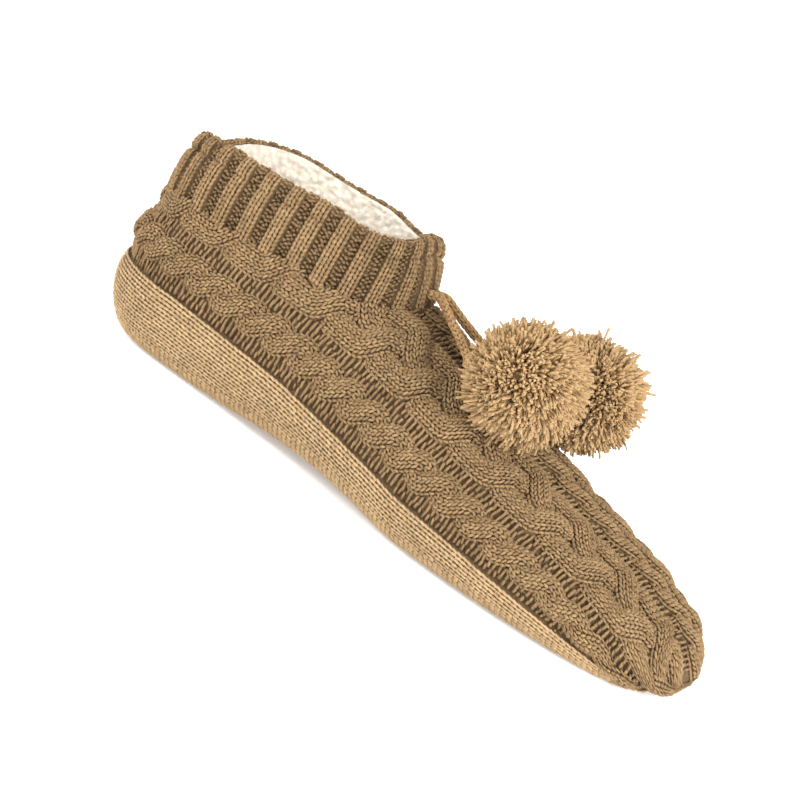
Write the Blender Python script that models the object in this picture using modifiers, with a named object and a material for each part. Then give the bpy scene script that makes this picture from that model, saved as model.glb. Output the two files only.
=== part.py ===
"""Knitted slipper sock: sole cup, cable knit upper, ribbed cuff, insole, drawstring and pompoms.

Metres, Z up. X runs from heel to toe, the near side is -Y, and the floor is Z = 0.
"""
import math
import random

import bmesh
import bpy
from mathutils import Vector

# Main sizes of the worn shape, standing unbent on the floor.
LENGTH = 0.252
BALL_WIDTH = 0.098
HEEL_WIDTH = 0.070
HEEL_DEPTH = 0.036
INSTEP_HEIGHT = 0.0655
TOE_HEIGHT = 0.0275
SOLE_SIDE = 0.025
TOE_SPRING = 0.010
ARCH_RISE = 0.003

# Collar: the line where the cuff is sewn on.
THROAT_X = 0.108
COLLAR_WIDTH = 0.069
COLLAR_DEPTH = 0.032
COLLAR_SIDE_HEIGHT = 0.0565
COLLAR_BACK_HEIGHT = 0.0475
COLLAR_ROUNDNESS = 2.4
COLLAR_CURVE = 2.2
COLLAR_BLEND = 0.040
SHOULDER_ANGLE = math.radians(79.0)
SHOULDER_POWER = 1.5
CURL = 0.55

# Walls: knit backed with fleece.
WALL = 0.0045
SOLE_WALL = 0.0045
INSOLE_THICK = 0.003
GAP = 0.0003

# Seam between sole and upper, a soft dip in both.
SEAM_DIP = 0.0008
HEEL_DIP = 0.0014
SEAM_DIP_REACH = 0.004

# Cable bands, as widths across the knit from the centre line down to the sole seam.
CENTRE_ROPE = 0.006
CENTRE_GUTTER = 0.0055
PLAIT_WIDTH = 0.028
SIDE_GUTTER = 0.005
ROPE_WIDTH = 0.0115
LADDER_WIDTH = 0.0055
KNIT_HALF = CENTRE_ROPE + CENTRE_GUTTER + PLAIT_WIDTH + SIDE_GUTTER + ROPE_WIDTH + LADDER_WIDTH
LINE_SNAP = 0.0008
RELIEF = 0.002
ROPE_REPEAT = 0.012
ROPE_SLANT = 0.010
PLAIT_REPEAT = 0.0213
STATION_STEP = ROPE_REPEAT / 3.0
CORNER_STEPS = 7

# Cuff.
CUFF_WIDTH = 0.0235
CUFF_WALL = 0.005
CUFF_BULGE = 0.0012
CUFF_RIBS = 28
RIB_DEPTH = 0.0014
LEAN_FRONT = 0.010
LEAN_SIDE = 0.0015
LEAN_BACK = 0.002

# Drawstring and pompoms.
CORD_RADIUS = 0.00175
CORD_STEP = 0.0045
POMPOM_RADIUS = 0.019
POMPOM_CORE = 0.0138
POMPOM_RAGGED = 0.0012
LOCK_TIP = 0.45
LOCK_FREE_ANGLE = math.radians(24.0)

# Cross sections, heel to toe, a row for each. along is the plane's place as a share of LENGTH.
# ball and heel are shares of half the two widths. wide is the height of the widest point and side
# the seam's height over the section's floor, both as shares of SOLE_SIDE. instep and toe share
# their heights out to the top line. floor is the flat underside as a share of the half width.
# spring and arch lift the underside. tuck is how far the seam runs in under the toe.
COLUMNS = ("along", "ball", "heel", "wide", "instep", "toe", "floor", "spring", "arch", "side", "tuck")
SECTIONS = (
    (1.000, 0.000, 0.000, 0.40, 0.000, 0.364, 0.50, 1.00, 0.00, 0.00, 1.00),
    (0.994, 0.245, 0.000, 0.42, 0.000, 0.585, 0.50, 0.58, 0.00, 0.00, 1.00),
    (0.982, 0.398, 0.000, 0.44, 0.000, 0.740, 0.55, 0.32, 0.00, 0.00, 1.00),
    (0.964, 0.530, 0.000, 0.46, 0.000, 0.865, 0.60, 0.15, 0.00, 0.00, 0.30),
    (0.937, 0.663, 0.000, 0.50, 0.000, 0.993, 0.66, 0.04, 0.00, 0.08, 0.00),
    (0.893, 0.796, 0.000, 0.54, 0.140, 0.812, 0.70, 0.00, 0.00, 0.20, 0.00),
    (0.813, 0.924, 0.000, 0.60, 0.390, 0.409, 0.72, 0.00, 0.00, 0.36, 0.00),
    (0.734, 0.986, 0.000, 0.64, 0.560, 0.186, 0.73, 0.00, 0.00, 0.48, 0.00),
    (0.675, 1.000, 0.000, 0.66, 0.680, 0.071, 0.73, 0.00, 0.00, 0.56, 0.00),
    (0.595, 0.976, 0.000, 0.70, 0.814, 0.000, 0.72, 0.00, 0.00, 0.62, 0.00),
    (0.516, 0.700, 0.306, 0.76, 0.913, 0.000, 0.68, 0.00, 0.60, 0.66, 0.00),
    (0.428, 0.400, 0.626, 0.82, 1.000, 0.000, 0.64, 0.00, 1.00, 0.72, 0.00),
    (0.357, 0.200, 0.834, 0.88, 1.000, 0.000, 0.63, 0.00, 0.80, 0.82, 0.00),
    (0.258, 0.050, 0.976, 0.96, 1.000, 0.000, 0.62, 0.00, 0.15, 0.94, 0.00),
    (0.198, 0.020, 0.990, 0.98, 1.000, 0.000, 0.62, 0.00, 0.00, 0.98, 0.00),
)
HEEL_SIDE_ROW = (0.0, 0.000, 1.000, 1.00, 1.000, 0.000, 0.62, 0.00, 0.00, 1.00, 0.00)
HEEL_BACK_ROW = (0.0, 0.000, 1.000, 1.08, 1.000, 0.000, 0.56, 0.00, 0.00, 1.00, 0.00)

# Routes of the two cord ends along the vamp, in metres from the back of the heel. Each goes on
# straight into its pompom.
CORD_ROUTES = {
    "near": ((0.1067, -0.0023, 0.0686), (0.1110, -0.0027, 0.0697), (0.1180, -0.0046, 0.0666),
             (0.1250, -0.0075, 0.0636), (0.1330, -0.0115, 0.0600), (0.1390, -0.0150, 0.0577)),
    "far": ((0.1067, 0.0023, 0.0686), (0.1112, 0.0029, 0.0697), (0.1190, 0.0048, 0.0664),
            (0.1270, 0.0074, 0.0630), (0.1360, 0.0102, 0.0596), (0.1450, 0.0126, 0.0568)),
}

# Where the pompoms rest on the vamp: place along, side, and distance from the middle line.
POMPOM_RESTS = {"near": (0.153, -1.0, 0.019), "far": (0.161, 1.0, 0.015)}

KNIT_TAN = (0.62, 0.47, 0.29)
SOLE_TAN = (0.68, 0.53, 0.35)
FLEECE_IVORY = (0.86, 0.80, 0.70)
CORD_TAN = (0.64, 0.45, 0.26)
POMPOM_TAN = (0.76, 0.58, 0.36)

HEEL_X = HEEL_DEPTH
SPAN = LENGTH - HEEL_X
HALF_LENGTH = LENGTH / 2.0
HEEL_ARC = math.pi / 2.0 * (HEEL_WIDTH / 2.0 + HEEL_DEPTH) / 2.0
CURVE_STEPS = 24
TIP_KEY = 0.0
SIDE_KEY = 1.0
BACK_KEY = SIDE_KEY + HEEL_ARC / (2.0 * SPAN)


def key_of_x(x):
    """Station key of a cross plane: the root keeps the round toe smooth."""
    return math.sqrt(max(0.0, (LENGTH - x) / SPAN))


def x_of_key(key):
    return LENGTH - SPAN * min(key, SIDE_KEY) ** 2


def turn_of_key(key):
    """Turn of the section plane about the heel's upright axis, 0 at the side and 90 at the back."""
    share = max(0.0, (key - SIDE_KEY) / (BACK_KEY - SIDE_KEY))
    return share * math.pi / 2.0


THROAT_KEY = key_of_x(THROAT_X)
CLOSE_X = SECTIONS[2][0] * LENGTH
CLOSE_KEY = key_of_x(CLOSE_X)


def section_rows():
    rows = [(key_of_x(row[0] * LENGTH), row) for row in SECTIONS]
    rows.append((SIDE_KEY, HEEL_SIDE_ROW))
    rows.append((BACK_KEY, HEEL_BACK_ROW))
    return rows


ROWS = section_rows()


def smooth_value(column, key):
    """Value of a column at a key, through the rows, with no overshoot between them."""
    keys = [row[0] for row in ROWS]
    values = [row[1][column] for row in ROWS]
    last = len(keys) - 1
    place = 0
    while place < last - 1 and key > keys[place + 1]:
        place += 1

    def slope(index):
        if index == 0:
            return (values[1] - values[0]) / (keys[1] - keys[0])
        if index == last:
            return 0.0
        before = (values[index] - values[index - 1]) / (keys[index] - keys[index - 1])
        after = (values[index + 1] - values[index]) / (keys[index + 1] - keys[index])
        if before * after <= 0.0:
            return 0.0
        return 2.0 * before * after / (before + after)

    width = keys[place + 1] - keys[place]
    t = min(1.0, max(0.0, (key - keys[place]) / width))
    rise = values[place + 1] - values[place]
    start = slope(place) * width
    end = slope(place + 1) * width
    return values[place] + start * t + (3 * rise - 2 * start - end) * t ** 2 \
        + (start + end - 2 * rise) * t ** 3


def oval_reach(turn, side, back):
    """Distance from the heel axis to an oval that is side wide and back deep."""
    return 1.0 / math.sqrt((math.cos(turn) / side) ** 2 + (math.sin(turn) / back) ** 2)


def collar_reach(key):
    """Half width of the collar line in the section plane, 0 in front of the throat."""
    if key <= THROAT_KEY:
        return 0.0
    if key > SIDE_KEY:
        return oval_reach(turn_of_key(key), COLLAR_WIDTH / 2.0, COLLAR_DEPTH)
    share = (x_of_key(key) - HEEL_X) / (THROAT_X - HEEL_X)
    rest = max(0.0, 1.0 - share ** COLLAR_ROUNDNESS)
    return COLLAR_WIDTH / 2.0 * rest ** (1.0 / COLLAR_ROUNDNESS)


def collar_height(key):
    if key > SIDE_KEY:
        drop = 1.0 - math.cos(turn_of_key(key))
        return COLLAR_SIDE_HEIGHT + (COLLAR_BACK_HEIGHT - COLLAR_SIDE_HEIGHT) * drop
    share = (x_of_key(key) - HEEL_X) / (THROAT_X - HEEL_X)
    return COLLAR_SIDE_HEIGHT + (INSTEP_HEIGHT - COLLAR_SIDE_HEIGHT) * share ** COLLAR_CURVE


def bezier(p0, p1, p2, p3, t):
    s = 1.0 - t
    return p0 * s ** 3 + p1 * (3 * s * s * t) + p2 * (3 * s * t * t) + p3 * t ** 3


def cut_at_reach(p0, p1, p2, p3, reach):
    """Control points of the part of a curve that lies farther out than a reach."""
    low = 0.0
    high = 1.0
    for _ in range(30):
        middle = (low + high) / 2.0
        if bezier(p0, p1, p2, p3, middle).x > reach:
            low = middle
        else:
            high = middle
    q0 = p0.lerp(p1, high)
    q1 = p1.lerp(p2, high)
    q2 = p2.lerp(p3, high)
    return p0, q0, q0.lerp(q1, high), q0.lerp(q1, high).lerp(q1.lerp(q2, high), high)


def upper_curve(key, wide, crown, top_r):
    """Control points from the widest point to the top: a closed vamp in front of the throat, that
    same vamp cut open just behind it, and the shape that stands up to the cuff farther back."""
    rise = Vector((0.0, CURL * (crown - wide.y)))
    vamp = (wide, wide + rise, Vector((CURL * wide.x, crown)), Vector((0.0, crown)))
    if key <= THROAT_KEY:
        return vamp
    top = Vector((top_r, collar_height(key)))
    angle = SHOULDER_ANGLE * min(1.0, top_r / (COLLAR_WIDTH / 2.0)) ** SHOULDER_POWER
    handle = CURL - 0.2 * math.sin(angle)
    reach = (wide.x - top_r) * math.cos(angle) + (top.y - wide.y) * math.sin(angle)
    fall = Vector((math.cos(angle), -math.sin(angle)))
    standing = (wide, wide + Vector((0.0, handle * (top.y - wide.y))), top + fall * (handle * reach), top)
    share = min(1.0, (THROAT_X - x_of_key(key)) / COLLAR_BLEND)
    share = share * share * (3.0 - 2.0 * share)
    return [a.lerp(b, share) for a, b in zip(cut_at_reach(*vamp, top_r), standing)]


class Section:
    """Outline of the near half at one station, from the middle of the underside to the top."""

    def __init__(self, key):
        value = {name: smooth_value(COLUMNS.index(name), key) for name in COLUMNS[1:]}
        self.key = key
        half = value["ball"] * BALL_WIDTH / 2.0 + value["heel"] * HEEL_WIDTH / 2.0
        if key > SIDE_KEY:
            half = oval_reach(turn_of_key(key), HEEL_WIDTH / 2.0, HEEL_DEPTH)
        floor_z = value["spring"] * TOE_SPRING + value["arch"] * ARCH_RISE
        wide_z = value["wide"] * SOLE_SIDE
        floor_r = value["floor"] * half
        crown = value["instep"] * INSTEP_HEIGHT + value["toe"] * TOE_HEIGHT
        edge = Vector((floor_r, floor_z))
        wide = Vector((half, wide_z))
        points = [Vector((0.0, floor_z))]
        for step in range(CURVE_STEPS + 1):
            points.append(bezier(edge, edge + Vector((CURL * (half - floor_r), 0.0)),
                                 wide - Vector((0.0, CURL * (wide_z - floor_z))), wide, step / CURVE_STEPS))
        controls = upper_curve(key, wide, crown, collar_reach(key))
        for step in range(1, CURVE_STEPS + 1):
            points.append(bezier(*controls, step / CURVE_STEPS))
        self.points = points
        self.arcs = [0.0]
        for before, after in zip(points, points[1:]):
            self.arcs.append(self.arcs[-1] + (after - before).length)
        self.floor_arc = floor_r
        self.top_arc = self.arcs[-1]
        self.seam_arc = self.find_seam(value, floor_z)
        self.share_back = max(0.0, (key - SIDE_KEY) / (BACK_KEY - SIDE_KEY))

    def find_seam(self, value, floor_z):
        """Arc of the sole seam: up the side at its height, or in under the toe."""
        tuck = min(1.0, max(0.0, value["tuck"]))
        if self.key <= CLOSE_KEY:
            return 0.0
        if tuck > 0.0:
            return self.floor_arc * (1.0 - tuck)
        height = floor_z + max(0.0, value["side"]) * SOLE_SIDE
        for index in range(1, len(self.points) - 1):
            low = self.points[index].y
            high = self.points[index + 1].y
            if low <= height < high:
                part = (height - low) / (high - low)
                return self.arcs[index] + part * (self.arcs[index + 1] - self.arcs[index])
        return self.floor_arc

    def at(self, arc):
        """Outline point as out and up, at an arc from the middle of the underside."""
        arc = min(self.top_arc, max(0.0, arc))
        for index in range(len(self.arcs) - 1):
            if arc <= self.arcs[index + 1] or index == len(self.arcs) - 2:
                length = self.arcs[index + 1] - self.arcs[index]
                part = (arc - self.arcs[index]) / length if length > 0.0 else 0.0
                return self.points[index].lerp(self.points[index + 1], part)
        return self.points[-1]


SECTION_STORE = {}


def section(key):
    if key not in SECTION_STORE:
        SECTION_STORE[key] = Section(key)
    return SECTION_STORE[key]


def place(key, out, up):
    """Point of the near side in the part's frame: the origin is under the middle of the length."""
    turn = turn_of_key(key)
    x = x_of_key(key) - math.sin(turn) * out
    return Vector((x - HALF_LENGTH, -math.cos(turn) * out, up))


def skin(key, arc):
    point = section(key).at(arc)
    return place(key, point.x, point.y)


def on_plane(key, arc):
    """True where the near half meets its mirror image."""
    here = section(key)
    if key <= TIP_KEY or key >= BACK_KEY or arc <= 0.0:
        return True
    return key <= THROAT_KEY and arc >= here.top_arc


def outward(key, arc):
    """Unit normal of the skin."""
    if key <= TIP_KEY:
        return Vector((1.0, 0.0, 0.0))
    here = section(key)
    share = arc / here.top_arc
    low = max(0.0, share - 0.01)
    high = min(1.0, share + 0.01)
    along = skin(key, high * here.top_arc) - skin(key, low * here.top_arc)
    step = 0.004
    front = max(0.0005, key - step)
    back = min(BACK_KEY, key + step)
    heelward = skin(back, share * section(back).top_arc) - skin(front, share * section(front).top_arc)
    normal = along.cross(heelward)
    if on_plane(key, arc):
        normal.y = 0.0
    if normal.length < 1e-12:
        return Vector((0.0, 0.0, -1.0))
    return normal.normalized()


def seam_dip(key, arc):
    here = section(key)
    if key <= CLOSE_KEY:
        return 0.0
    deep = SEAM_DIP + (HEEL_DIP - SEAM_DIP) * here.share_back
    return deep * math.exp(-((arc - here.seam_arc) / SEAM_DIP_REACH) ** 2)


def shell_point(key, arc, depth):
    """Point at a depth under the skin."""
    point = skin(key, arc) - outward(key, arc) * (depth + seam_dip(key, arc))
    if on_plane(key, arc):
        point.y = 0.0
    return point


def along_knit(key):
    """Distance along the knit from the toe tip."""
    return (LENGTH - x_of_key(key)) + turn_of_key(key) / (math.pi / 2.0) * HEEL_ARC


def knit_scale(key):
    """Knit width for each unit of arc."""
    here = section(key)
    drop = here.top_arc - here.seam_arc
    if key <= THROAT_KEY:
        return min(1.0, KNIT_HALF / drop) if drop > 0.0 else 1.0
    throat = section(THROAT_KEY)
    start = min(1.0, KNIT_HALF / (throat.top_arc - throat.seam_arc))
    share = min(1.0, (THROAT_X - x_of_key(key)) / (THROAT_X - HEEL_X))
    return start + (1.0 - start) * share


def knit_limits(key):
    """Knit coordinate of the top edge and of the sole seam."""
    here = section(key)
    drop = (here.top_arc - here.seam_arc) * knit_scale(key)
    if key <= THROAT_KEY:
        return 0.0, min(KNIT_HALF, drop)
    return KNIT_HALF - drop, KNIT_HALF


def arc_of_knit(key, across):
    here = section(key)
    seam = knit_limits(key)[1]
    return here.seam_arc + (seam - across) / knit_scale(key)


PLAIT_TOP = CENTRE_ROPE + CENTRE_GUTTER
PLAIT_LOW = PLAIT_TOP + PLAIT_WIDTH
ROPE_TOP = PLAIT_LOW + SIDE_GUTTER
ROPE_LOW = ROPE_TOP + ROPE_WIDTH


def dome(share):
    """Height of a round strand over its half width."""
    return math.sqrt(max(0.0, 1.0 - share * share))


def rope_height(along, across, middle, width):
    body = dome((across - middle) / (width * 0.54))
    phase = (along - ROPE_SLANT * (across - middle) / width) / ROPE_REPEAT
    return body * (0.62 + 0.38 * math.cos(2.0 * math.pi * phase))


def plait_height(along, across):
    """Three strands weave: each goes over from an edge to the middle, and under on the way out."""
    middle = (PLAIT_TOP + PLAIT_LOW) / 2.0
    lane = PLAIT_WIDTH / 3.0
    best = 0.0
    for strand in range(3):
        angle = -2.0 * math.pi * (along / (3.0 * PLAIT_REPEAT) + strand / 3.0)
        centre = middle + lane * math.sin(angle)
        body = dome((across - centre) / (lane * 0.62))
        best = max(best, body * (0.72 - 0.28 * math.sin(2.0 * angle)))
    return best


def knit_height(along, across):
    """Raised share of the cable bands, 0 in the gutters and 1 on the highest strands."""
    if across < CENTRE_ROPE:
        return rope_height(along, across, 0.0, 2.0 * CENTRE_ROPE)
    if PLAIT_TOP < across < PLAIT_LOW:
        return plait_height(along, across)
    if ROPE_TOP < across < ROPE_LOW:
        return rope_height(along, across, (ROPE_TOP + ROPE_LOW) / 2.0, ROPE_WIDTH)
    return 0.0


def band_lines(top, width, shares):
    return [top + width * share for share in shares]


OUTER_LINES = ([0.0, CENTRE_ROPE * 0.55, CENTRE_ROPE]
               + band_lines(PLAIT_TOP, PLAIT_WIDTH, (0.0, 0.1, 0.24, 0.37, 0.5, 0.63, 0.76, 0.9, 1.0))
               + band_lines(ROPE_TOP, ROPE_WIDTH, (0.0, 0.24, 0.5, 0.76, 1.0))
               + [KNIT_HALF])
INNER_LINES = [0.0, PLAIT_TOP, (PLAIT_TOP + PLAIT_LOW) / 2.0, PLAIT_LOW, ROPE_LOW, KNIT_HALF]


def even_steps(start, end, step):
    """Places from start to end, start left out, at about a step apart."""
    count = max(1, round(abs(end - start) / step))
    return [start + (end - start) * (index + 1) / count for index in range(count)]


def toe_keys():
    cap = SECTIONS[4][0] * LENGTH
    keys = [TIP_KEY, CLOSE_KEY * 0.33, CLOSE_KEY * 0.66, CLOSE_KEY]
    rest = key_of_x(cap) - CLOSE_KEY
    keys += [CLOSE_KEY + rest * share for share in (0.22, 0.46, 0.72, 1.0)]
    return keys, cap


def upper_keys():
    """Stations from the toe tip to the back of the heel, one on each third of a rope repeat."""
    keys, cap = toe_keys()
    keys += [key_of_x(x) for x in even_steps(cap, THROAT_X, STATION_STEP)]
    keys[-1] = THROAT_KEY
    corner = COLLAR_WIDTH / 4.0
    for step in range(1, CORNER_STEPS + 1):
        turn = step * math.pi / (2.0 * CORNER_STEPS)
        keys.append(key_of_x(THROAT_X - corner * (1.0 - math.cos(turn))))
    keys += [key_of_x(x) for x in even_steps(THROAT_X - corner, HEEL_X, STATION_STEP)]
    keys[-1] = SIDE_KEY
    keys += even_steps(SIDE_KEY, BACK_KEY, (BACK_KEY - SIDE_KEY) * STATION_STEP / HEEL_ARC)
    keys[-1] = BACK_KEY
    return keys


def sole_keys():
    """The upper's stations, each second one behind the toe."""
    keys = upper_keys()
    cap_key = toe_keys()[0][-1]
    front = [key for key in keys if CLOSE_KEY < key <= cap_key]
    rear = [key for key in keys if cap_key < key < BACK_KEY]
    return front + rear[1::2] + [BACK_KEY]


class MeshMaker:
    """Collects faces by their corner points and merges the points that coincide."""

    def __init__(self):
        self.mesh = bmesh.new()
        self.store = {}

    def corner(self, point):
        name = tuple(round(value * 1e6) for value in point)
        if name not in self.store:
            self.store[name] = self.mesh.verts.new(point)
        return self.store[name]

    def face(self, points):
        corners = []
        for point in points:
            corner = self.corner(point)
            if corner not in corners:
                corners.append(corner)
        if len(corners) > 2 and self.mesh.faces.get(corners) is None:
            self.mesh.faces.new(corners)

    def strip(self, first, second):
        for index in range(len(first) - 1):
            self.face((first[index], second[index], second[index + 1], first[index + 1]))


def half_shell(outer, inner, top_rim, low_rim, first_cap):
    """Near half of a wall: outer and inner rows of points for each station, and the rims between.

    Rows run from the top line down. The rims are on where the wall ends on that side.
    """
    maker = MeshMaker()
    for index in range(len(outer) - 1):
        maker.strip(outer[index], outer[index + 1])
        maker.strip(inner[index + 1], inner[index])
        if top_rim[index]:
            maker.face((outer[index][0], inner[index][0], inner[index + 1][0], outer[index + 1][0]))
        if low_rim[index]:
            maker.face((outer[index][-1], outer[index + 1][-1], inner[index + 1][-1], inner[index][-1]))
    if first_cap:
        maker.strip(inner[0], outer[0])
    return maker.mesh


def new_object(name, mesh_data, collection, material):
    item = bpy.data.objects.new(name, mesh_data)
    collection.objects.link(item)
    item.data.materials.append(material)
    return item


def mirrored(name, half, collection, material):
    """Object of a half mesh that is open at the middle plane, completed by a Mirror modifier."""
    data = bpy.data.meshes.new(name)
    bmesh.ops.triangulate(half, faces=half.faces[:])
    half.to_mesh(data)
    half.free()
    data.shade_smooth()
    item = new_object(name, data, collection, material)
    mirror = item.modifiers.new("Mirror", "MIRROR")
    mirror.use_axis = (False, True, False)
    mirror.merge_threshold = 0.00005
    return item


def make_material(name, colour, roughness):
    material = bpy.data.materials.new(name)
    material.use_nodes = True
    surface = material.node_tree.nodes["Principled BSDF"]
    surface.inputs["Base Color"].default_value = (*colour, 1.0)
    surface.inputs["Roughness"].default_value = roughness
    surface.inputs["Metallic"].default_value = 0.0
    return material


def upper_rows(lines, depth, raised):
    rows = []
    for key in upper_keys():
        top, seam = knit_limits(key)
        here = section(key)
        row = []
        for line in lines:
            at_seam = line >= seam - LINE_SNAP
            across = seam if at_seam else max(top, line)
            arc = arc_of_knit(key, across)
            if at_seam and key > CLOSE_KEY:
                arc = here.seam_arc + GAP / 2.0
            if at_seam and key <= CLOSE_KEY:
                arc = 0.0
            if line <= top:
                arc = here.top_arc
            sunk = 1.0 - knit_height(along_knit(key), across)
            low = RELIEF * sunk * min(1.0, key / CLOSE_KEY) if raised else 0.0
            row.append(shell_point(key, arc, depth + low))
        rows.append(row)
    return rows


def build_upper(collection, material):
    keys = upper_keys()
    outer = upper_rows(OUTER_LINES, 0.0, True)
    inner = upper_rows(INNER_LINES, WALL, False)
    top_rim = [key >= THROAT_KEY for key in keys]
    low_rim = [key >= CLOSE_KEY for key in keys]
    half = half_shell(outer, inner, top_rim, low_rim, False)
    return mirrored("upper", half, collection, material), (outer, inner)


def sole_lines(key, inside):
    """Arcs of the sole's lines from the seam to the middle of the underside."""
    here = section(key)
    seam = here.seam_arc - GAP / 2.0
    side = here.seam_arc - here.floor_arc
    shares = (0.65, 0.3, 0.0) if inside else (0.85, 0.6, 0.36, 0.16, 0.0)
    lines = [seam] + [min(seam, here.floor_arc + side * share) for share in shares]
    return lines + [0.0]


def build_sole(collection, material):
    tip_key = key_of_x(CLOSE_X - 2.0 * GAP)
    keys = [tip_key] + sole_keys()
    outer = []
    inner = []
    for key in keys:
        lines = [0.0] * 7 if key == tip_key else sole_lines(key, False)
        outer.append([shell_point(key, arc, 0.0) for arc in lines])
        lines = [0.0] * 5 if key == tip_key else sole_lines(key, True)
        inner.append([shell_point(key, arc, SOLE_WALL) for arc in lines])
    rims = [True] * len(keys)
    half = half_shell(outer, inner, rims, [False] * len(keys), False)
    return mirrored("sole", half, collection, material)


def build_insole(collection, material):
    front_key = toe_keys()[0][-1]
    keys = [key for key in sole_keys() if key >= front_key]
    under = []
    over = []
    for key in keys:
        lines = sole_lines(key, True)[2:]
        under.append([shell_point(key, arc, SOLE_WALL + GAP) for arc in lines])
        over.append([shell_point(key, arc, SOLE_WALL + GAP + INSOLE_THICK) for arc in lines])
    rims = [True] * len(keys)
    half = half_shell(under, over, rims, [False] * len(keys), True)
    return mirrored("insole", half, collection, material)


def rib_columns():
    """Shares of half the cuff's way round, each with its rib height: 1 raised, 0 sunk."""
    ribs = CUFF_RIBS // 2
    columns = [(0.0, 0.0)]
    for rib in range(ribs):
        for share, height in ((0.19, 0.0), (0.26, 1.0), (0.74, 1.0), (0.81, 0.0)):
            columns.append(((rib + share) / ribs, height))
    columns.append((1.0, 0.0))
    return columns


def collar_frames(outer, inner):
    """Edge points of the upper's collar from throat to back, with up and out directions."""
    keys = upper_keys()
    picks = [index for index, key in enumerate(keys) if key >= THROAT_KEY]
    edge = [outer[index][0] for index in picks]
    frames = []
    for spot, index in enumerate(picks):
        before = edge[max(0, spot - 1)]
        after = edge[min(len(edge) - 1, spot + 1)]
        along = after - before
        if spot == 0:
            along = Vector((0.0, -1.0, 0.0))
        if spot == len(edge) - 1:
            along = Vector((0.0, 1.0, 0.0))
        normal = outward(keys[index], section(keys[index]).top_arc)
        up = along.cross(normal).normalized()
        out = Vector((along.y, -along.x, 0.0)).normalized() * -1.0
        frames.append((outer[index][0], inner[index][0], up, out))
    return frames


def frame_at(frames, lengths, share):
    """Collar frame at a share of the way round, on the straight edges between stations."""
    goal = share * lengths[-1]
    index = 0
    while index < len(frames) - 2 and goal > lengths[index + 1]:
        index += 1
    part = (goal - lengths[index]) / (lengths[index + 1] - lengths[index])
    values = [frames[index][item].lerp(frames[index + 1][item], part) for item in range(4)]
    return values[0], values[1], values[2].normalized(), values[3].normalized()


def cuff_column(frames, lengths, share, height):
    """Closed outline of the cuff wall at one column, from the outer foot over the rim and down."""
    outer, inner, up, out = frame_at(frames, lengths, share)
    foot_out = outer + up * GAP
    foot_in = inner + up * GAP
    lean = LEAN_FRONT * max(0.0, out.x) ** 2 + LEAN_SIDE * out.y ** 2 + LEAN_BACK * max(0.0, -out.x) ** 2
    rise = Vector((0.0, 0.0, math.sqrt(CUFF_WIDTH ** 2 - lean ** 2))) - out * lean
    sunk = RIB_DEPTH * (1.0 - height)
    rim_in = foot_out + rise * 0.94 - out * CUFF_WALL
    points = []
    for v, bulge, depth in ((0.0, 0.0, 0.7), (0.30, 1.0, 1.0), (0.66, 0.75, 1.0), (0.92, 0.3, 0.7)):
        points.append(foot_out + rise * v + out * (CUFF_BULGE * bulge - sunk * depth))
    points.append(foot_out + rise - out * (CUFF_WALL * 0.5))
    points.append(rim_in)
    points.append(foot_in)
    if share <= 0.0 or share >= 1.0:
        for point in points:
            point.y = 0.0
    return points


def build_cuff(collection, material, collar_edge):
    frames = collar_frames(*collar_edge)
    lengths = [0.0]
    for before, after in zip(frames, frames[1:]):
        lengths.append(lengths[-1] + (after[0] - before[0]).length)
    rings = [cuff_column(frames, lengths, share, height) for share, height in rib_columns()]
    maker = MeshMaker()
    for first, second in zip(rings, rings[1:]):
        maker.strip(second + second[:1], first + first[:1])
    return mirrored("cuff", maker.mesh, collection, material)


def smooth_route(points, step):
    """Points about a step apart on a smooth curve through a route."""
    spots = [Vector(point) for point in points]
    spots = [spots[0] * 2 - spots[1]] + spots + [spots[-1] * 2 - spots[-2]]
    path = []
    for index in range(1, len(spots) - 2):
        a, b, c, d = spots[index - 1:index + 3]
        count = max(1, round((c - b).length / step))
        for part in range(count):
            t = part / count
            path.append(0.5 * (2 * b + (c - a) * t + (2 * a - 5 * b + 4 * c - d) * t ** 2
                               + (3 * b - a - 3 * c + d) * t ** 3))
    path.append(spots[-2])
    return path


def vamp_arc(key, out):
    """Arc of the skin point at a distance from the middle line, on the top side."""
    here = section(key)
    arc = here.top_arc
    while here.at(arc).x < out:
        arc -= 0.0001
    return arc


def pompom_centre(side):
    """The ball rests with its locks just clear of the vamp."""
    x, hand, out = POMPOM_RESTS[side]
    key = key_of_x(x)
    arc = vamp_arc(key, out)
    centre = skin(key, arc) + outward(key, arc) * (POMPOM_RADIUS + GAP)
    centre.y *= -hand
    return centre


def new_ball():
    ball = bmesh.new()
    bmesh.ops.create_icosphere(ball, subdivisions=2, radius=POMPOM_CORE)
    ball.faces.ensure_lookup_table()
    return ball


def cord_path(side):
    """Cord points in the part's frame, up to the pompom's bare facet."""
    route = [Vector(point) - Vector((HALF_LENGTH, 0.0, 0.0)) for point in CORD_ROUTES[side]]
    ball = new_ball()
    seat = ball.faces[0].calc_center_median().length + GAP
    ball.free()
    centre = pompom_centre(side)
    toward = (centre - route[-1]).normalized()
    route.append(centre - toward * seat)
    return smooth_route(route, CORD_STEP)


def build_cord(side, collection, material):
    name = "drawstring_" + side
    curve = bpy.data.curves.new(name, "CURVE")
    curve.dimensions = "3D"
    curve.bevel_depth = CORD_RADIUS
    curve.bevel_resolution = 2
    curve.render_resolution_u = 0
    curve.use_fill_caps = True
    path = cord_path(side)
    spline = curve.splines.new("POLY")
    spline.points.add(len(path) - 1)
    for point, spot in zip(spline.points, path):
        point.co = (*spot, 1.0)
    return new_object(name, curve, collection, material)


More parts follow.
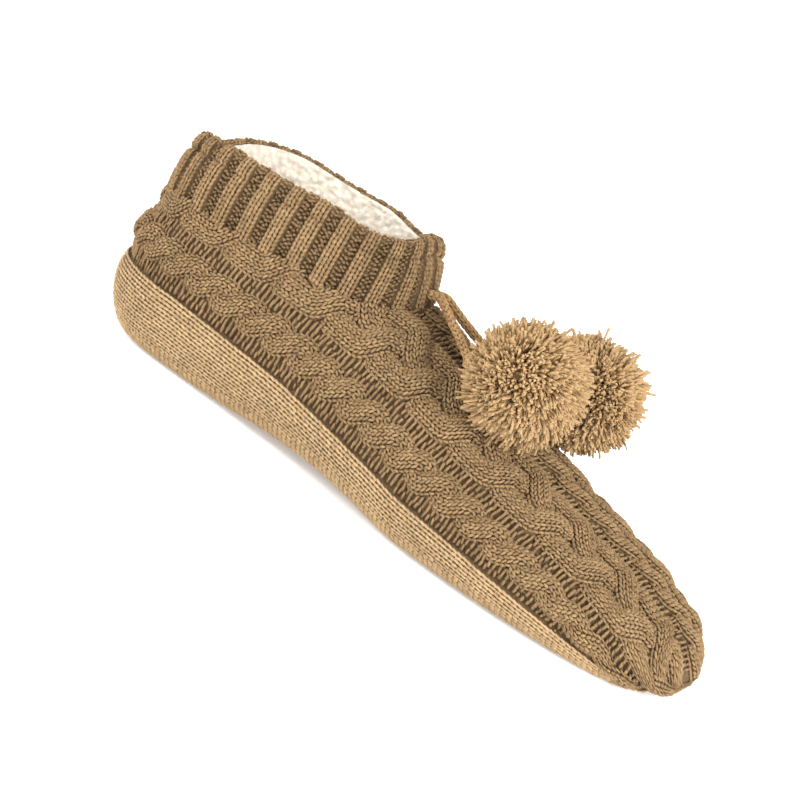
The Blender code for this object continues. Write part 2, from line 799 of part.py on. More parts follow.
def build_pompom(side, seed, collection, material):
    """Ball with a lock drawn out of each facet, bare where the cord goes in."""
    dice = random.Random(seed)
    centre = pompom_centre(side)
    path = cord_path(side)
    toward = (path[-1] - centre).normalized()
    ball = new_ball()
    turn = ball.faces[0].calc_center_median().rotation_difference(toward)
    bmesh.ops.rotate(ball, cent=(0.0, 0.0, 0.0), matrix=turn.to_matrix(), verts=ball.verts[:])
    ball.normal_update()
    tufts = [face for face in ball.faces if face.calc_center_median().angle(toward) > LOCK_FREE_ANGLE]
    tufts = bmesh.ops.extrude_discrete_faces(ball, faces=tufts)["faces"]
    for face in tufts:
        length = POMPOM_RADIUS - POMPOM_CORE + dice.uniform(-1.0, 1.0) * POMPOM_RAGGED
        middle = face.calc_center_median()
        push = middle.normalized() * length
        for corner in face.verts:
            corner.co = middle + (corner.co - middle) * LOCK_TIP + push
    bmesh.ops.triangulate(ball, faces=ball.faces[:])
    name = "pompom_" + side
    data = bpy.data.meshes.new(name)
    ball.to_mesh(data)
    ball.free()
    item = new_object(name, data, collection, material)
    item.location = centre
    return item


def clear_scene():
    for item in list(bpy.data.objects):
        bpy.data.objects.remove(item, do_unlink=True)


def main():
    clear_scene()
    collection = bpy.data.collections.new("slipper_sock")
    bpy.context.scene.collection.children.link(collection)
    knit = make_material("cable_knit", KNIT_TAN, 0.95)
    upper, collar_edge = build_upper(collection, knit)
    build_sole(collection, make_material("sole_knit", SOLE_TAN, 0.95))
    build_insole(collection, make_material("fleece", FLEECE_IVORY, 1.0))
    build_cuff(collection, make_material("rib_knit", KNIT_TAN, 0.95), collar_edge)
    cord_material = make_material("cord_knit", CORD_TAN, 0.95)
    yarn = make_material("pompom_yarn", POMPOM_TAN, 1.0)
    for seed, side in enumerate(("near", "far")):
        build_cord(side, collection, cord_material)
        build_pompom(side, seed, collection, yarn)


main()
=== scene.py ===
"""Cable knit slipper sock: stitches, fleece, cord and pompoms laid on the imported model.

Metres, Z up. X runs from heel to toe, the near side is -Y, and the floor is Z = 0.

Stitches are laid in coordinates of the cloth they belong to. On the upper and the sole these are
along, the distance from the toe; across, the distance from the middle line; and height, out of
the skin. Each cloth has a function that turns them into places.
"""
import math

import bpy
import numpy as np
from mathutils import Matrix, Vector


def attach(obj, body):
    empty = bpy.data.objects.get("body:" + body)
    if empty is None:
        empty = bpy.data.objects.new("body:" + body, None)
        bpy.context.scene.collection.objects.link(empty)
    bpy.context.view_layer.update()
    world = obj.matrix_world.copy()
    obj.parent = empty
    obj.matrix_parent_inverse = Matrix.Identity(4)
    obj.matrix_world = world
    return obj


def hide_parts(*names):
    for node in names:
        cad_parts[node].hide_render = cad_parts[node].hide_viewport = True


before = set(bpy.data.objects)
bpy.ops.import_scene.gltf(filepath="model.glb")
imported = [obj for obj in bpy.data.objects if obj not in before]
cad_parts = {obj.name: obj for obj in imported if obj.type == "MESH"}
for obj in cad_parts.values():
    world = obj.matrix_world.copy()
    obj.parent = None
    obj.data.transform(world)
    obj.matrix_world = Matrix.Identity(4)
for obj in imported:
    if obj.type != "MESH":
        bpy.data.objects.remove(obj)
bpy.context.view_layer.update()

# Main sizes of the shape, as in the model.
LENGTH = 0.252
BALL_WIDTH = 0.098
HEEL_WIDTH = 0.070
HEEL_DEPTH = 0.036
INSTEP_HEIGHT = 0.0655
TOE_HEIGHT = 0.0275
SOLE_SIDE = 0.025
TOE_SPRING = 0.010
ARCH_RISE = 0.003
THROAT_X = 0.108
COLLAR_WIDTH = 0.069
COLLAR_DEPTH = 0.032
COLLAR_SIDE_HEIGHT = 0.0565
COLLAR_BACK_HEIGHT = 0.0475
COLLAR_ROUNDNESS = 2.4
COLLAR_CURVE = 2.2
COLLAR_BLEND = 0.040
BACK_ROUNDING = 0.6
SHOULDER_ANGLE = math.radians(79.0)
SHOULDER_POWER = 1.5
CURL = 0.55
SOLE_WALL = 0.0045
INSOLE_THICK = 0.003
GAP = 0.0003
SEAM_DIP = 0.0008
HEEL_DIP = 0.0014
SEAM_DIP_REACH = 0.004

# Cable bands, as widths across the knit from the middle line down to the sole seam.
CENTRE_ROPE = 0.006
CENTRE_GUTTER = 0.0055
PLAIT_WIDTH = 0.028
SIDE_GUTTER = 0.005
ROPE_WIDTH = 0.0115
LADDER_WIDTH = 0.0055
PLAIT_TOP = CENTRE_ROPE + CENTRE_GUTTER
PLAIT_LOW = PLAIT_TOP + PLAIT_WIDTH
ROPE_TOP = PLAIT_LOW + SIDE_GUTTER
ROPE_LOW = ROPE_TOP + ROPE_WIDTH
KNIT_HALF = ROPE_LOW + LADDER_WIDTH
ROPE_REPEAT = 0.012
PLAIT_REPEAT = 0.0213

# Cuff.
CUFF_WIDTH = 0.0235
CUFF_BULGE = 0.0012
CUFF_RIBS = 28
LEAN_FRONT = 0.010
LEAN_SIDE = 0.0015
LEAN_BACK = 0.002
RIM_RADIUS = 0.0022
CREASE_CLIMB = 0.0163
CREASE_DEPTH = 0.0011
CREASE_REACH = 0.0007

# Gauge of each knit.
ROW = 0.0020
WALE_LINE = 0.00113
ROPE_LINE = 0.00107
SOLE_ROW = 0.00215
SOLE_LINE = 0.00137
RIB_ROW = 0.00164
RIB_LINE = 0.00137
PLAIT_LINES = 9
ROPE_LINES = 7
RIB_LINES = 4
SOLE_SIDE_LINES = 40
UNDERSIDE_LINES = 60
CORD_ROW = 0.0021
CORD_LINES = 8

# Legs and bars of the stitches: half sizes, lean to each side, sink of the tail end and lift of the
# middle. SOLE_LEG_REACH is a leg's length in rows, and CORD_BEDDING sets the cord's legs into its radius.
KNIT_LEG_THICK = 0.00054
KNIT_TILT = 0.00042
KNIT_SINK = 0.00042
KNIT_ARCH = 0.0002
RIB_LEG_THICK = 0.00055
RIB_TILT = 0.00034
SOLE_LEG_THICK = 0.00050
SOLE_TILT = 0.00024
SOLE_LEG_REACH = 1.42
CORD_LEG_THICK = 0.00048
CORD_TILT = 0.00038
CORD_BEDDING = 0.00045
LEG_SINK = 0.00035
PURL_THICK = 0.00056
PURL_ARCH = 0.0011
VALLEY_WIDE = 0.00052
VALLEY_THICK = 0.00048
VALLEY_ARCH = 0.0005

# Heights of stitches and of the cloths under them, out of the skin. STRAND_FILL is how far the cloth
# stays under a strand's top, SEAM_SINK is for the sole's edge, and the rises are for the rim.
SOLE_LEG_LEVEL = -0.00055
RIB_EDGE_LEVEL = -0.00075
RIB_TOP_LEVEL = -0.0004
PURL_START_LEVEL = -0.0029
PURL_END_LEVEL = -0.0031
GUTTER_LEVEL = -0.0033
STRAND_FILL = 0.0009
BEHIND_EDGE = -0.0038
TOE_LEVEL = -0.0012
SOLE_LEVEL = -0.0012
SEAM_SINK = 0.0024
VALLEY_LEVEL = -0.0033
VALLEY_RISE = 0.0027
VALLEY_BARS = -0.0024
VALLEY_BARS_RISE = 0.0018
RIB_LEVEL = -0.0011

# Thickness of the grounds, and for the fleece its heights out of the skin, its width and its curls.
GROUND_THICK = 0.0008
SOLE_GROUND_THICK = 0.0012
UPPER_LINING = -0.0056
SOLE_LINING = -0.0058
CUFF_LINING = 0.0004
CUFF_LINING_SWELL = 0.0018
CUFF_LINING_WIDTH = 0.029
CURL_SIZE = 0.0020

# Pompoms and fuzz.
POMPOM_CORE = 0.0150
POMPOM_ROOT = 0.0095
POMPOM_ENDS = 6800
YARN_END_JOINT = 0.7
POMPOM_CLUMPS = 130
POMPOM_END_THICK = 0.00048
HAIR_ROOT = 0.000055
HAIR_TAPER = 0.00003
UPPER_HAIRS = 8000
CUFF_HAIRS = 2400
SOLE_HAIRS = 1200

COLUMNS = ("along", "ball", "heel", "wide", "instep", "toe", "floor", "spring", "arch", "side", "tuck")
SECTIONS = (
    (1.000, 0.000, 0.000, 0.40, 0.000, 0.364, 0.50, 1.00, 0.00, 0.00, 1.00),
    (0.994, 0.245, 0.000, 0.42, 0.000, 0.585, 0.50, 0.58, 0.00, 0.00, 1.00),
    (0.982, 0.398, 0.000, 0.44, 0.000, 0.740, 0.55, 0.32, 0.00, 0.00, 1.00),
    (0.964, 0.530, 0.000, 0.46, 0.000, 0.865, 0.60, 0.15, 0.00, 0.00, 0.30),
    (0.937, 0.663, 0.000, 0.50, 0.000, 0.993, 0.66, 0.04, 0.00, 0.08, 0.00),
    (0.893, 0.796, 0.000, 0.54, 0.140, 0.812, 0.70, 0.00, 0.00, 0.20, 0.00),
    (0.813, 0.924, 0.000, 0.60, 0.390, 0.409, 0.72, 0.00, 0.00, 0.36, 0.00),
    (0.734, 0.986, 0.000, 0.64, 0.560, 0.186, 0.73, 0.00, 0.00, 0.48, 0.00),
    (0.675, 1.000, 0.000, 0.66, 0.680, 0.071, 0.73, 0.00, 0.00, 0.56, 0.00),
    (0.595, 0.976, 0.000, 0.70, 0.814, 0.000, 0.72, 0.00, 0.00, 0.62, 0.00),
    (0.516, 0.700, 0.306, 0.76, 0.913, 0.000, 0.68, 0.00, 0.60, 0.66, 0.00),
    (0.428, 0.400, 0.626, 0.82, 1.000, 0.000, 0.64, 0.00, 1.00, 0.72, 0.00),
    (0.357, 0.200, 0.834, 0.88, 1.000, 0.000, 0.63, 0.00, 0.80, 0.82, 0.00),
    (0.258, 0.050, 0.976, 0.96, 1.000, 0.000, 0.62, 0.00, 0.15, 0.94, 0.00),
    (0.198, 0.020, 0.990, 0.98, 1.000, 0.000, 0.62, 0.00, 0.00, 0.98, 0.00),
)
HEEL_SIDE_ROW = (0.0, 0.000, 1.000, 1.00, 1.000, 0.000, 0.62, 0.00, 0.00, 1.00, 0.00)
HEEL_BACK_ROW = (0.0, 0.000, 1.000, 1.08, 1.000, 0.000, 0.56, 0.00, 0.00, 1.00, 0.00)

# Cord routes from the cuff to the pompoms, as in the model, and the pompoms' middles.
CORD_RADIUS = 0.00175
CORD_ROUTES = {
    "near": ((-0.01930, -0.00230, 0.06860), (-0.01500, -0.00270, 0.06970), (-0.01167, -0.00349, 0.06841),
             (-0.00800, -0.00460, 0.06660), (-0.00456, -0.00592, 0.06513), (-0.00100, -0.00750, 0.06360),
             (0.00306, -0.00946, 0.06176), (0.00700, -0.01150, 0.06000), (0.00996, -0.01324, 0.05837),
             (0.01300, -0.01500, 0.05770), (0.01712, -0.01705, 0.05933), (0.02157, -0.01919, 0.06175)),
    "far": ((-0.01930, 0.00230, 0.06860), (-0.01480, 0.00290, 0.06970), (-0.01112, 0.00373, 0.06833),
            (-0.00700, 0.00480, 0.06640), (-0.00307, 0.00604, 0.06471), (0.00100, 0.00740, 0.06300),
            (0.00544, 0.00881, 0.06126), (0.01000, 0.01020, 0.05960), (0.01445, 0.01139, 0.05773),
            (0.01900, 0.01260, 0.05680), (0.02383, 0.01401, 0.05843), (0.02875, 0.01548, 0.06093)),
}
POMPOM_CENTRES = {"near": (0.03259, -0.02457, 0.06696), "far": (0.04059, 0.01898, 0.06594)}
POMPOM_RADIUS = 0.019

HEEL_X = HEEL_DEPTH
SPAN = LENGTH - HEEL_X
HALF_LENGTH = LENGTH / 2.0
HEEL_ARC = math.pi / 2.0 * (HEEL_WIDTH / 2.0 + HEEL_DEPTH) / 2.0
SIDE_KEY = 1.0
BACK_KEY = SIDE_KEY + HEEL_ARC / (2.0 * SPAN)
THROAT_KEY = math.sqrt((LENGTH - THROAT_X) / SPAN)
CLOSE_KEY = math.sqrt((1.0 - SECTIONS[2][0]) * LENGTH / SPAN)


# Small sums.

def ease(t):
    t = np.clip(t, 0.0, 1.0)
    return t * t * (3.0 - 2.0 * t)


def unit(rows):
    return rows / np.maximum(np.linalg.norm(rows, axis=-1, keepdims=True), 1e-9)


def run_of(points):
    """Distance along a row of points to each of them."""
    return np.concatenate([[0.0], np.cumsum(np.linalg.norm(np.diff(points, axis=0), axis=1))])


def read_row(marks, run, table):
    """A table of places read at marks along its run."""
    return np.stack([np.interp(marks, run, table[:, k]) for k in range(3)], 1)


# Shape of the sock.

def x_of_key(key):
    return LENGTH - SPAN * np.minimum(key, SIDE_KEY) ** 2


def turn_of_key(key):
    """Turn of the section plane about the heel's upright axis."""
    return np.maximum(0.0, key - SIDE_KEY) / (BACK_KEY - SIDE_KEY) * math.pi / 2.0


def column_values(keys):
    """Each column of the sections table, read smoothly at the keys."""
    row_keys = [math.sqrt((1.0 - row[0]) * LENGTH / SPAN) for row in SECTIONS] + [SIDE_KEY, BACK_KEY]
    row_keys = np.array(row_keys)
    values = np.array([row[1:] for row in SECTIONS + (HEEL_SIDE_ROW, HEEL_BACK_ROW)])
    rises = np.diff(values, axis=0) / np.diff(row_keys)[:, None]
    slopes = np.zeros_like(values)
    slopes[0] = rises[0]
    before, after = rises[:-1], rises[1:]
    same_way = before * after > 0.0
    total = np.where(same_way, before + after, 1.0)
    slopes[1:-1] = np.where(same_way, 2.0 * before * after / total, 0.0)
    index = np.clip(np.searchsorted(row_keys, keys) - 1, 0, len(row_keys) - 2)
    width = (row_keys[index + 1] - row_keys[index])[:, None]
    t = np.clip((keys - row_keys[index])[:, None] / width, 0.0, 1.0)
    rise = values[index + 1] - values[index]
    start = slopes[index] * width
    end = slopes[index + 1] * width
    square = 3 * rise - 2 * start - end
    cube = start + end - 2 * rise
    read = values[index] + start * t + square * t ** 2 + cube * t ** 3
    return {name: read[:, place] for place, name in enumerate(COLUMNS[1:])}


def oval_reach(turn, side, back):
    return 1.0 / np.sqrt((np.cos(turn) / side) ** 2 + (np.sin(turn) / back) ** 2)


def collar_reach(key):
    if key <= THROAT_KEY:
        return 0.0
    if key > SIDE_KEY:
        return float(oval_reach(turn_of_key(key), COLLAR_WIDTH / 2.0, COLLAR_DEPTH))
    share = (x_of_key(key) - HEEL_X) / (THROAT_X - HEEL_X)
    return COLLAR_WIDTH / 2.0 * max(0.0, 1.0 - share ** COLLAR_ROUNDNESS) ** (1.0 / COLLAR_ROUNDNESS)


def collar_height(key):
    if key > SIDE_KEY:
        share = turn_of_key(key) / (math.pi / 2.0)
        drop = 1.0 - math.cos(share * math.pi / 2.0)
        if share > BACK_ROUNDING:
            before = 1.0 - math.cos(BACK_ROUNDING * math.pi / 2.0)
            slope = math.sin(BACK_ROUNDING * math.pi / 2.0) * math.pi / 2.0 * (1.0 - BACK_ROUNDING)
            t = (share - BACK_ROUNDING) / (1.0 - BACK_ROUNDING)
            drop = before + (1.0 - before) * ease(t) + slope * t * (1.0 - t) ** 2
        return COLLAR_SIDE_HEIGHT + (COLLAR_BACK_HEIGHT - COLLAR_SIDE_HEIGHT) * drop
    share = (x_of_key(key) - HEEL_X) / (THROAT_X - HEEL_X)
    return COLLAR_SIDE_HEIGHT + (INSTEP_HEIGHT - COLLAR_SIDE_HEIGHT) * share ** COLLAR_CURVE


def bezier(controls, t):
    p0, p1, p2, p3 = (np.asarray(point, float) for point in controls)
    t = np.asarray(t, float)[..., None]
    s = 1.0 - t
    return p0 * s ** 3 + 3.0 * p1 * s * s * t + 3.0 * p2 * s * t * t + p3 * t ** 3


def cut_at_reach(controls, reach):
    """Control points of the part of a curve that lies farther out than a reach."""
    shares = np.linspace(0.0, 1.0, 2001)
    outs = bezier(controls, shares)[:, 0]
    t = float(np.interp(-reach, -outs, shares))
    p0, p1, p2, p3 = (np.asarray(point, float) for point in controls)
    q0, q1, q2 = p0 + (p1 - p0) * t, p1 + (p2 - p1) * t, p2 + (p3 - p2) * t
    r0, r1 = q0 + (q1 - q0) * t, q1 + (q2 - q1) * t
    return np.array([p0, q0, r0, r0 + (r1 - r0) * t])


def upper_curve(key, wide, crown, top_r):
    """Control points from the widest point to the top of a section."""
    half, wide_z = wide
    vamp = np.array([wide, (half, wide_z + CURL * (crown - wide_z)), (CURL * half, crown), (0.0, crown)])
    if key <= THROAT_KEY:
        return vamp
    top = np.array([top_r, collar_height(key)])
    angle = SHOULDER_ANGLE * min(1.0, top_r / (COLLAR_WIDTH / 2.0)) ** SHOULDER_POWER
    handle = CURL - 0.2 * math.sin(angle)
    reach = (half - top_r) * math.cos(angle) + (top[1] - wide_z) * math.sin(angle)
    fall = np.array([math.cos(angle), -math.sin(angle)])
    standing = np.array([wide, (half, wide_z + handle * (top[1] - wide_z)), top + fall * handle * reach, top])
    cut = cut_at_reach(vamp, top_r)
    return cut + (standing - cut) * ease((THROAT_X - x_of_key(key)) / COLLAR_BLEND)


def outline(key, value):
    """Outline of the near half at one station, with its arcs, the seam's arc and the flat's arc."""
    half = value["ball"] * BALL_WIDTH / 2.0 + value["heel"] * HEEL_WIDTH / 2.0
    if key > SIDE_KEY:
        half = float(oval_reach(turn_of_key(key), HEEL_WIDTH / 2.0, HEEL_DEPTH))
    floor_z = value["spring"] * TOE_SPRING + value["arch"] * ARCH_RISE
    wide_z = value["wide"] * SOLE_SIDE
    floor_r = value["floor"] * half
    crown = value["instep"] * INSTEP_HEIGHT + value["toe"] * TOE_HEIGHT
    steps = np.linspace(0.0, 1.0, 33)
    low = bezier([(floor_r, floor_z), (floor_r + CURL * (half - floor_r), floor_z),
                  (half, wide_z - CURL * (wide_z - floor_z)), (half, wide_z)], steps)
    high = bezier(upper_curve(key, (half, wide_z), crown, collar_reach(key)), steps[1:])
    points = np.vstack([[(0.0, floor_z)], low, high])
    arcs = run_of(points)
    tuck = min(1.0, max(0.0, value["tuck"]))
    if key <= CLOSE_KEY:
        seam = 0.0
    elif tuck > 0.0:
        seam = floor_r * (1.0 - tuck)
    else:
        climb = points[1:, 1]
        height = floor_z + max(0.0, value["side"]) * SOLE_SIDE
        seam = float(np.interp(height, climb[:60], arcs[1:61]))
    return points, arcs, seam, floor_r


class Skin:
    """The sock's outer surface as tables of places and normals, by along and arc.

    Arcs run from the middle of the underside, up the near side, to the top.
    """

    step = 0.0006

    def __init__(self):
        keys = np.linspace(0.0, BACK_KEY, 500)
        values = column_values(keys)
        crowns = values["instep"] * INSTEP_HEIGHT + values["toe"] * TOE_HEIGHT
        x = x_of_key(keys)
        run = np.concatenate([[0.0], np.cumsum(np.hypot(np.diff(x), np.diff(crowns)))])
        throat_run = np.interp(THROAT_KEY, keys, run)
        behind = throat_run + (THROAT_X - x) + turn_of_key(keys) / (math.pi / 2.0) * HEEL_ARC
        run = np.where(keys > THROAT_KEY, behind, run)
        along = run - throat_run + (LENGTH - THROAT_X)
        self.start = along[0]
        self.end = along[-1]
        self.throat = LENGTH - THROAT_X
        places = np.arange(self.start, self.end + self.step, self.step)
        keys = np.interp(places, along, keys)
        values = column_values(keys)
        arcs = np.arange(0.0, 0.128, self.step)
        out = np.zeros((len(keys), len(arcs)))
        up = np.zeros_like(out)
        self.seam_arc, self.top_arc, self.floor_arc = (np.zeros(len(keys)) for _ in range(3))
        for row, key in enumerate(keys):
            points, lengths, seam, floor_r = outline(key, {name: values[name][row] for name in values})
            beyond = points[-1] + (points[-1] - points[-2]) / max(1e-9, lengths[-1] - lengths[-2]) * 0.03
            lengths = np.append(lengths, lengths[-1] + 0.03)
            out[row] = np.interp(arcs, lengths, np.append(points[:, 0], beyond[0]))
            up[row] = np.interp(arcs, lengths, np.append(points[:, 1], beyond[1]))
            self.seam_arc[row], self.top_arc[row], self.floor_arc[row] = seam, lengths[-2], floor_r
        turn = turn_of_key(keys)[:, None]
        x = x_of_key(keys)
        place = np.stack([x[:, None] - np.sin(turn) * out - HALF_LENGTH, -np.cos(turn) * out, up], 2)
        normal = np.cross(np.gradient(place, axis=1), np.gradient(place, axis=0))
        normal[0] = (1.0, 0.0, 0.0)
        length = np.linalg.norm(normal, axis=2, keepdims=True)
        normal = np.where(length > 1e-15, normal / np.maximum(length, 1e-15), (1.0, 0.0, 0.0))
        normal[1:, 0] = normal[1:, 1]
        share_back = np.maximum(0.0, (keys - SIDE_KEY) / (BACK_KEY - SIDE_KEY))
        deep = np.where(keys > CLOSE_KEY, SEAM_DIP + (HEEL_DIP - SEAM_DIP) * share_back, 0.0)
        dip = deep[:, None] * np.exp(-((arcs[None, :] - self.seam_arc[:, None]) / SEAM_DIP_REACH) ** 2)
        self.place = place - normal * dip[:, :, None]
        self.normal = normal
        drop = self.top_arc - self.seam_arc
        throat_row = int((self.throat - self.start) / self.step)
        front_scale = np.minimum(1.0, KNIT_HALF / np.maximum(drop, 1e-6))
        share = np.clip((THROAT_X - x) / (THROAT_X - HEEL_X), 0.0, 1.0)
        rear_scale = front_scale[throat_row] + (1.0 - front_scale[throat_row]) * share
        self.scale = np.where(keys <= THROAT_KEY, front_scale, rear_scale)
        self.seam_across = np.where(keys <= THROAT_KEY, np.minimum(KNIT_HALF, drop * self.scale), KNIT_HALF)
        self.top_across = np.where(keys <= THROAT_KEY, 0.0, KNIT_HALF - drop * self.scale)

    def rows(self, along):
        return np.clip((along - self.start) / self.step, 0.0, len(self.place) - 1.001)

    def line(self, table, along):
        """A table of one number for each station, read at along."""
        row = self.rows(along)
        low = row.astype(int)
        return table[low] + (table[low + 1] - table[low]) * (row - low)

    def at(self, along, arc, height, hand):
        """Places at a height over the skin. hand is -1 on the near side and 1 on the far side."""
        row = self.rows(along)
        column = np.clip(arc / self.step, 0.0, self.place.shape[1] - 1.001)
        i, j = row.astype(int), column.astype(int)
        u, v = (row - i)[:, None], (column - j)[:, None]

        def read(table):
            return (table[i, j] * (1 - u) * (1 - v) + table[i + 1, j] * u * (1 - v)
                    + table[i, j + 1] * (1 - u) * v + table[i + 1, j + 1] * u * v)

        normal = read(self.normal)
        normal /= np.linalg.norm(normal, axis=1, keepdims=True)
        spot = read(self.place) + normal * height[:, None]
        spot[:, 1] = np.minimum(spot[:, 1], 0.0)
        spot[:, 1] *= -hand
        return spot

    def on_upper(self, along, across, height):
        """Across is positive on the near side, from the middle line down to the sole seam."""
        side = np.abs(across)
        over_seam = (self.line(self.seam_across, along) - side) / self.line(self.scale, along)
        arc = self.line(self.seam_arc, along) + over_seam
        return self.at(along, arc, height, np.where(across > 0.0, -1.0, 1.0))

    def on_sole(self, along, across, height):
        """Across is negative on the near side, from the middle of the underside up to the seam."""
        return self.at(along, np.abs(across), height, np.where(across < 0.0, -1.0, 1.0))


SKIN = Skin()


# Stitch work.

def only(piece):
    bpy.ops.object.select_all(action="DESELECT")
    piece.select_set(True)
    bpy.context.view_layer.objects.active = piece


def form_arrays(piece):
    """Corner places of a small form, and its faces as loop totals and corner numbers."""
    data = piece.data
    places = np.zeros(len(data.vertices) * 3)
    data.vertices.foreach_get("co", places)
    totals = np.zeros(len(data.polygons), int)
    data.polygons.foreach_get("loop_total", totals)
    corners = np.zeros(len(data.loops), int)
    data.loops.foreach_get("vertex_index", corners)
    bpy.data.objects.remove(piece)
    return places.reshape(-1, 3), totals, corners


def stitch_form(sides, rings):
    """One leg of a stitch: a plump spindle along Z, one unit in half length and radius."""
    bpy.ops.object.select_all(action="DESELECT")
    bpy.ops.mesh.primitive_uv_sphere_add(segments=sides, ring_count=rings, radius=1.0)
    return form_arrays(bpy.context.object)


def strand_form(joint):
    """A yarn end or fibre: three sided, from 0 to 1 along Z, able to bend at joint if that isn't 0."""
    bpy.ops.object.select_all(action="DESELECT")
    bpy.ops.mesh.primitive_cylinder_add(vertices=3, radius=1.0, depth=1.0, location=(0.0, 0.0, 0.5))
    bpy.ops.object.transform_apply(location=True)
    if joint:
        bpy.ops.object.mode_set(mode="EDIT")
        bpy.ops.mesh.select_all(action="SELECT")
        bpy.ops.mesh.bisect(plane_co=(0.0, 0.0, joint), plane_no=(0.0, 0.0, 1.0))
        bpy.ops.object.mode_set(mode="OBJECT")
    return form_arrays(bpy.context.object)


def joined_mesh(name, places, totals, corners, shade, thread):
    """One piece from many copies of a form. places and thread are copies by corners by 3.

    shade lightens each corner: its spread is each copy's tone, and where it is held low it is painted shade.
    thread is its place in the yarn, in millimetres, along Z.
    """
    copies, count, _ = places.shape
    data = bpy.data.meshes.new(name)
    data.vertices.add(copies * count)
    data.vertices.foreach_set("co", places.astype(np.float32).ravel())
    loops = (corners[None, :] + np.arange(copies)[:, None] * count).ravel()
    data.loops.add(len(loops))
    data.loops.foreach_set("vertex_index", loops.astype(np.int32))
    sizes = np.tile(totals, copies)
    data.polygons.add(len(sizes))
    starts = np.concatenate([[0], np.cumsum(sizes)[:-1]])
    data.polygons.foreach_set("loop_start", starts.astype(np.int32))
    data.polygons.foreach_set("loop_total", sizes.astype(np.int32))
    data.update(calc_edges=True)
    data.validate()
    data.attributes.new("shade", "FLOAT", "POINT").data.foreach_set("value", shade.astype(np.float32).ravel())
    data.attributes.new("thread", "FLOAT_VECTOR", "POINT").data.foreach_set(
        "vector", thread.astype(np.float32).ravel())
    data.shade_smooth()
    piece = bpy.data.objects.new(name, data)
    bpy.context.scene.collection.objects.link(piece)
    return piece


class Stitches:
    """Collects stitch legs on one cloth, then makes one piece of them."""

    def __init__(self, cloth):
        self.cloth = cloth
        self.parts = []

    def add(self, start, end, half_width, half_thick, bow=0.0, arch=0.0):
        """Legs from start to end, each row along, across and height.

        bow bends their middles sideways and arch lifts them.
        """
        start, end = np.asarray(start, float), np.asarray(end, float)
        count = len(start)
        sizes = [np.broadcast_to(value, (count,)) for value in (half_width, half_thick, bow, arch)]
        self.parts.append((start, end, *sizes))

    def piece(self, name, slot, stitch, tone_and_painted_shade=(0.0, 1.0)):
        start, end, width, thick, bow, arch = (np.concatenate(rows) for rows in zip(*self.parts))
        form, totals, corners = stitch
        dice = np.random.default_rng(len(name) * 7 + len(start))
        count = len(start)
        width = width * dice.uniform(0.90, 1.10, count)
        thick = thick * dice.uniform(0.90, 1.10, count)
        start = start + dice.normal(0.0, 0.00006, start.shape)
        end = end + dice.normal(0.0, 0.00006, end.shape)
        step = end - start
        length = np.maximum(np.linalg.norm(step[:, :2], axis=1), 1e-9)
        side = np.stack([-step[:, 1] / length, step[:, 0] / length], 1)
        t = (form[:, 2] + 1.0) / 2.0
        spot = start[:, None, :] + step[:, None, :] * t[None, :, None]
        belly = 1.0 - (2.0 * t[None, :] - 1.0) ** 2
        sideways = form[None, :, 0] * width[:, None] + bow[:, None] * belly
        spot[:, :, 0] += side[:, None, 0] * sideways
        spot[:, :, 1] += side[:, None, 1] * sideways
        spot[:, :, 2] += form[None, :, 1] * thick[:, None] + arch[:, None] * belly
        flat = spot.reshape(-1, 3)
        places = self.cloth(flat[:, 0], flat[:, 1], flat[:, 2]).reshape(spot.shape)
        # Each leg's shade is drawn from the range: a random tone, and where the range is cut short its lower
        # values are painted shade for sunken stitches.
        shade = np.repeat(dice.uniform(tone_and_painted_shade[0], tone_and_painted_shade[1], count), len(form))
        reach = np.linalg.norm(step, axis=1) * 1000.0
        turn = 2.2 * t[None, :] + dice.uniform(0.0, 6.3, count)[:, None]
        thread = np.stack([form[None, :, 0] * np.cos(turn) - form[None, :, 1] * np.sin(turn),
                           form[None, :, 0] * np.sin(turn) + form[None, :, 1] * np.cos(turn),
                           t[None, :] * reach[:, None]], 2)
        thread += dice.uniform(0.0, 50.0, (count, 1, 3))
        return joined_mesh(name, places, totals, corners, shade, thread)


def plait_lane(phase):
    """Lane of a plait strand, 1 low and -1 high, and how far it lies over or under the others."""
    p = np.mod(phase, 6.0)
    lane = ease((p + 0.47) / 0.94) - ease((p - 1.53) / 0.94) - ease((p - 2.53) / 0.94) \
        + ease((p - 4.53) / 0.94) + ease((p - 5.53) / 0.94)
    over = sum(np.exp(-((p - c) / 0.52) ** 2) for c in (2.0, 5.0))
    under = sum(np.exp(-((p - c) / 0.50) ** 2) for c in (0.0, 3.0, 6.0))
    return lane, over, under


def rope_lane(phase):
    """Lane of a rope strand, 1 low and -1 high: over on the way up at 0 and under at 1."""
    p = np.mod(phase, 2.0)
    lane = 1.0 - 2.0 * ease((p + 0.45) / 0.9) + 2.0 * ease((p - 0.55) / 0.9) - 2.0 * ease((p - 1.55) / 0.9)
    over = np.exp(-(p / 0.42) ** 2) + np.exp(-((p - 2.0) / 0.42) ** 2)
    under = np.exp(-((p - 1.0) / 0.42) ** 2)
    return lane, over, under


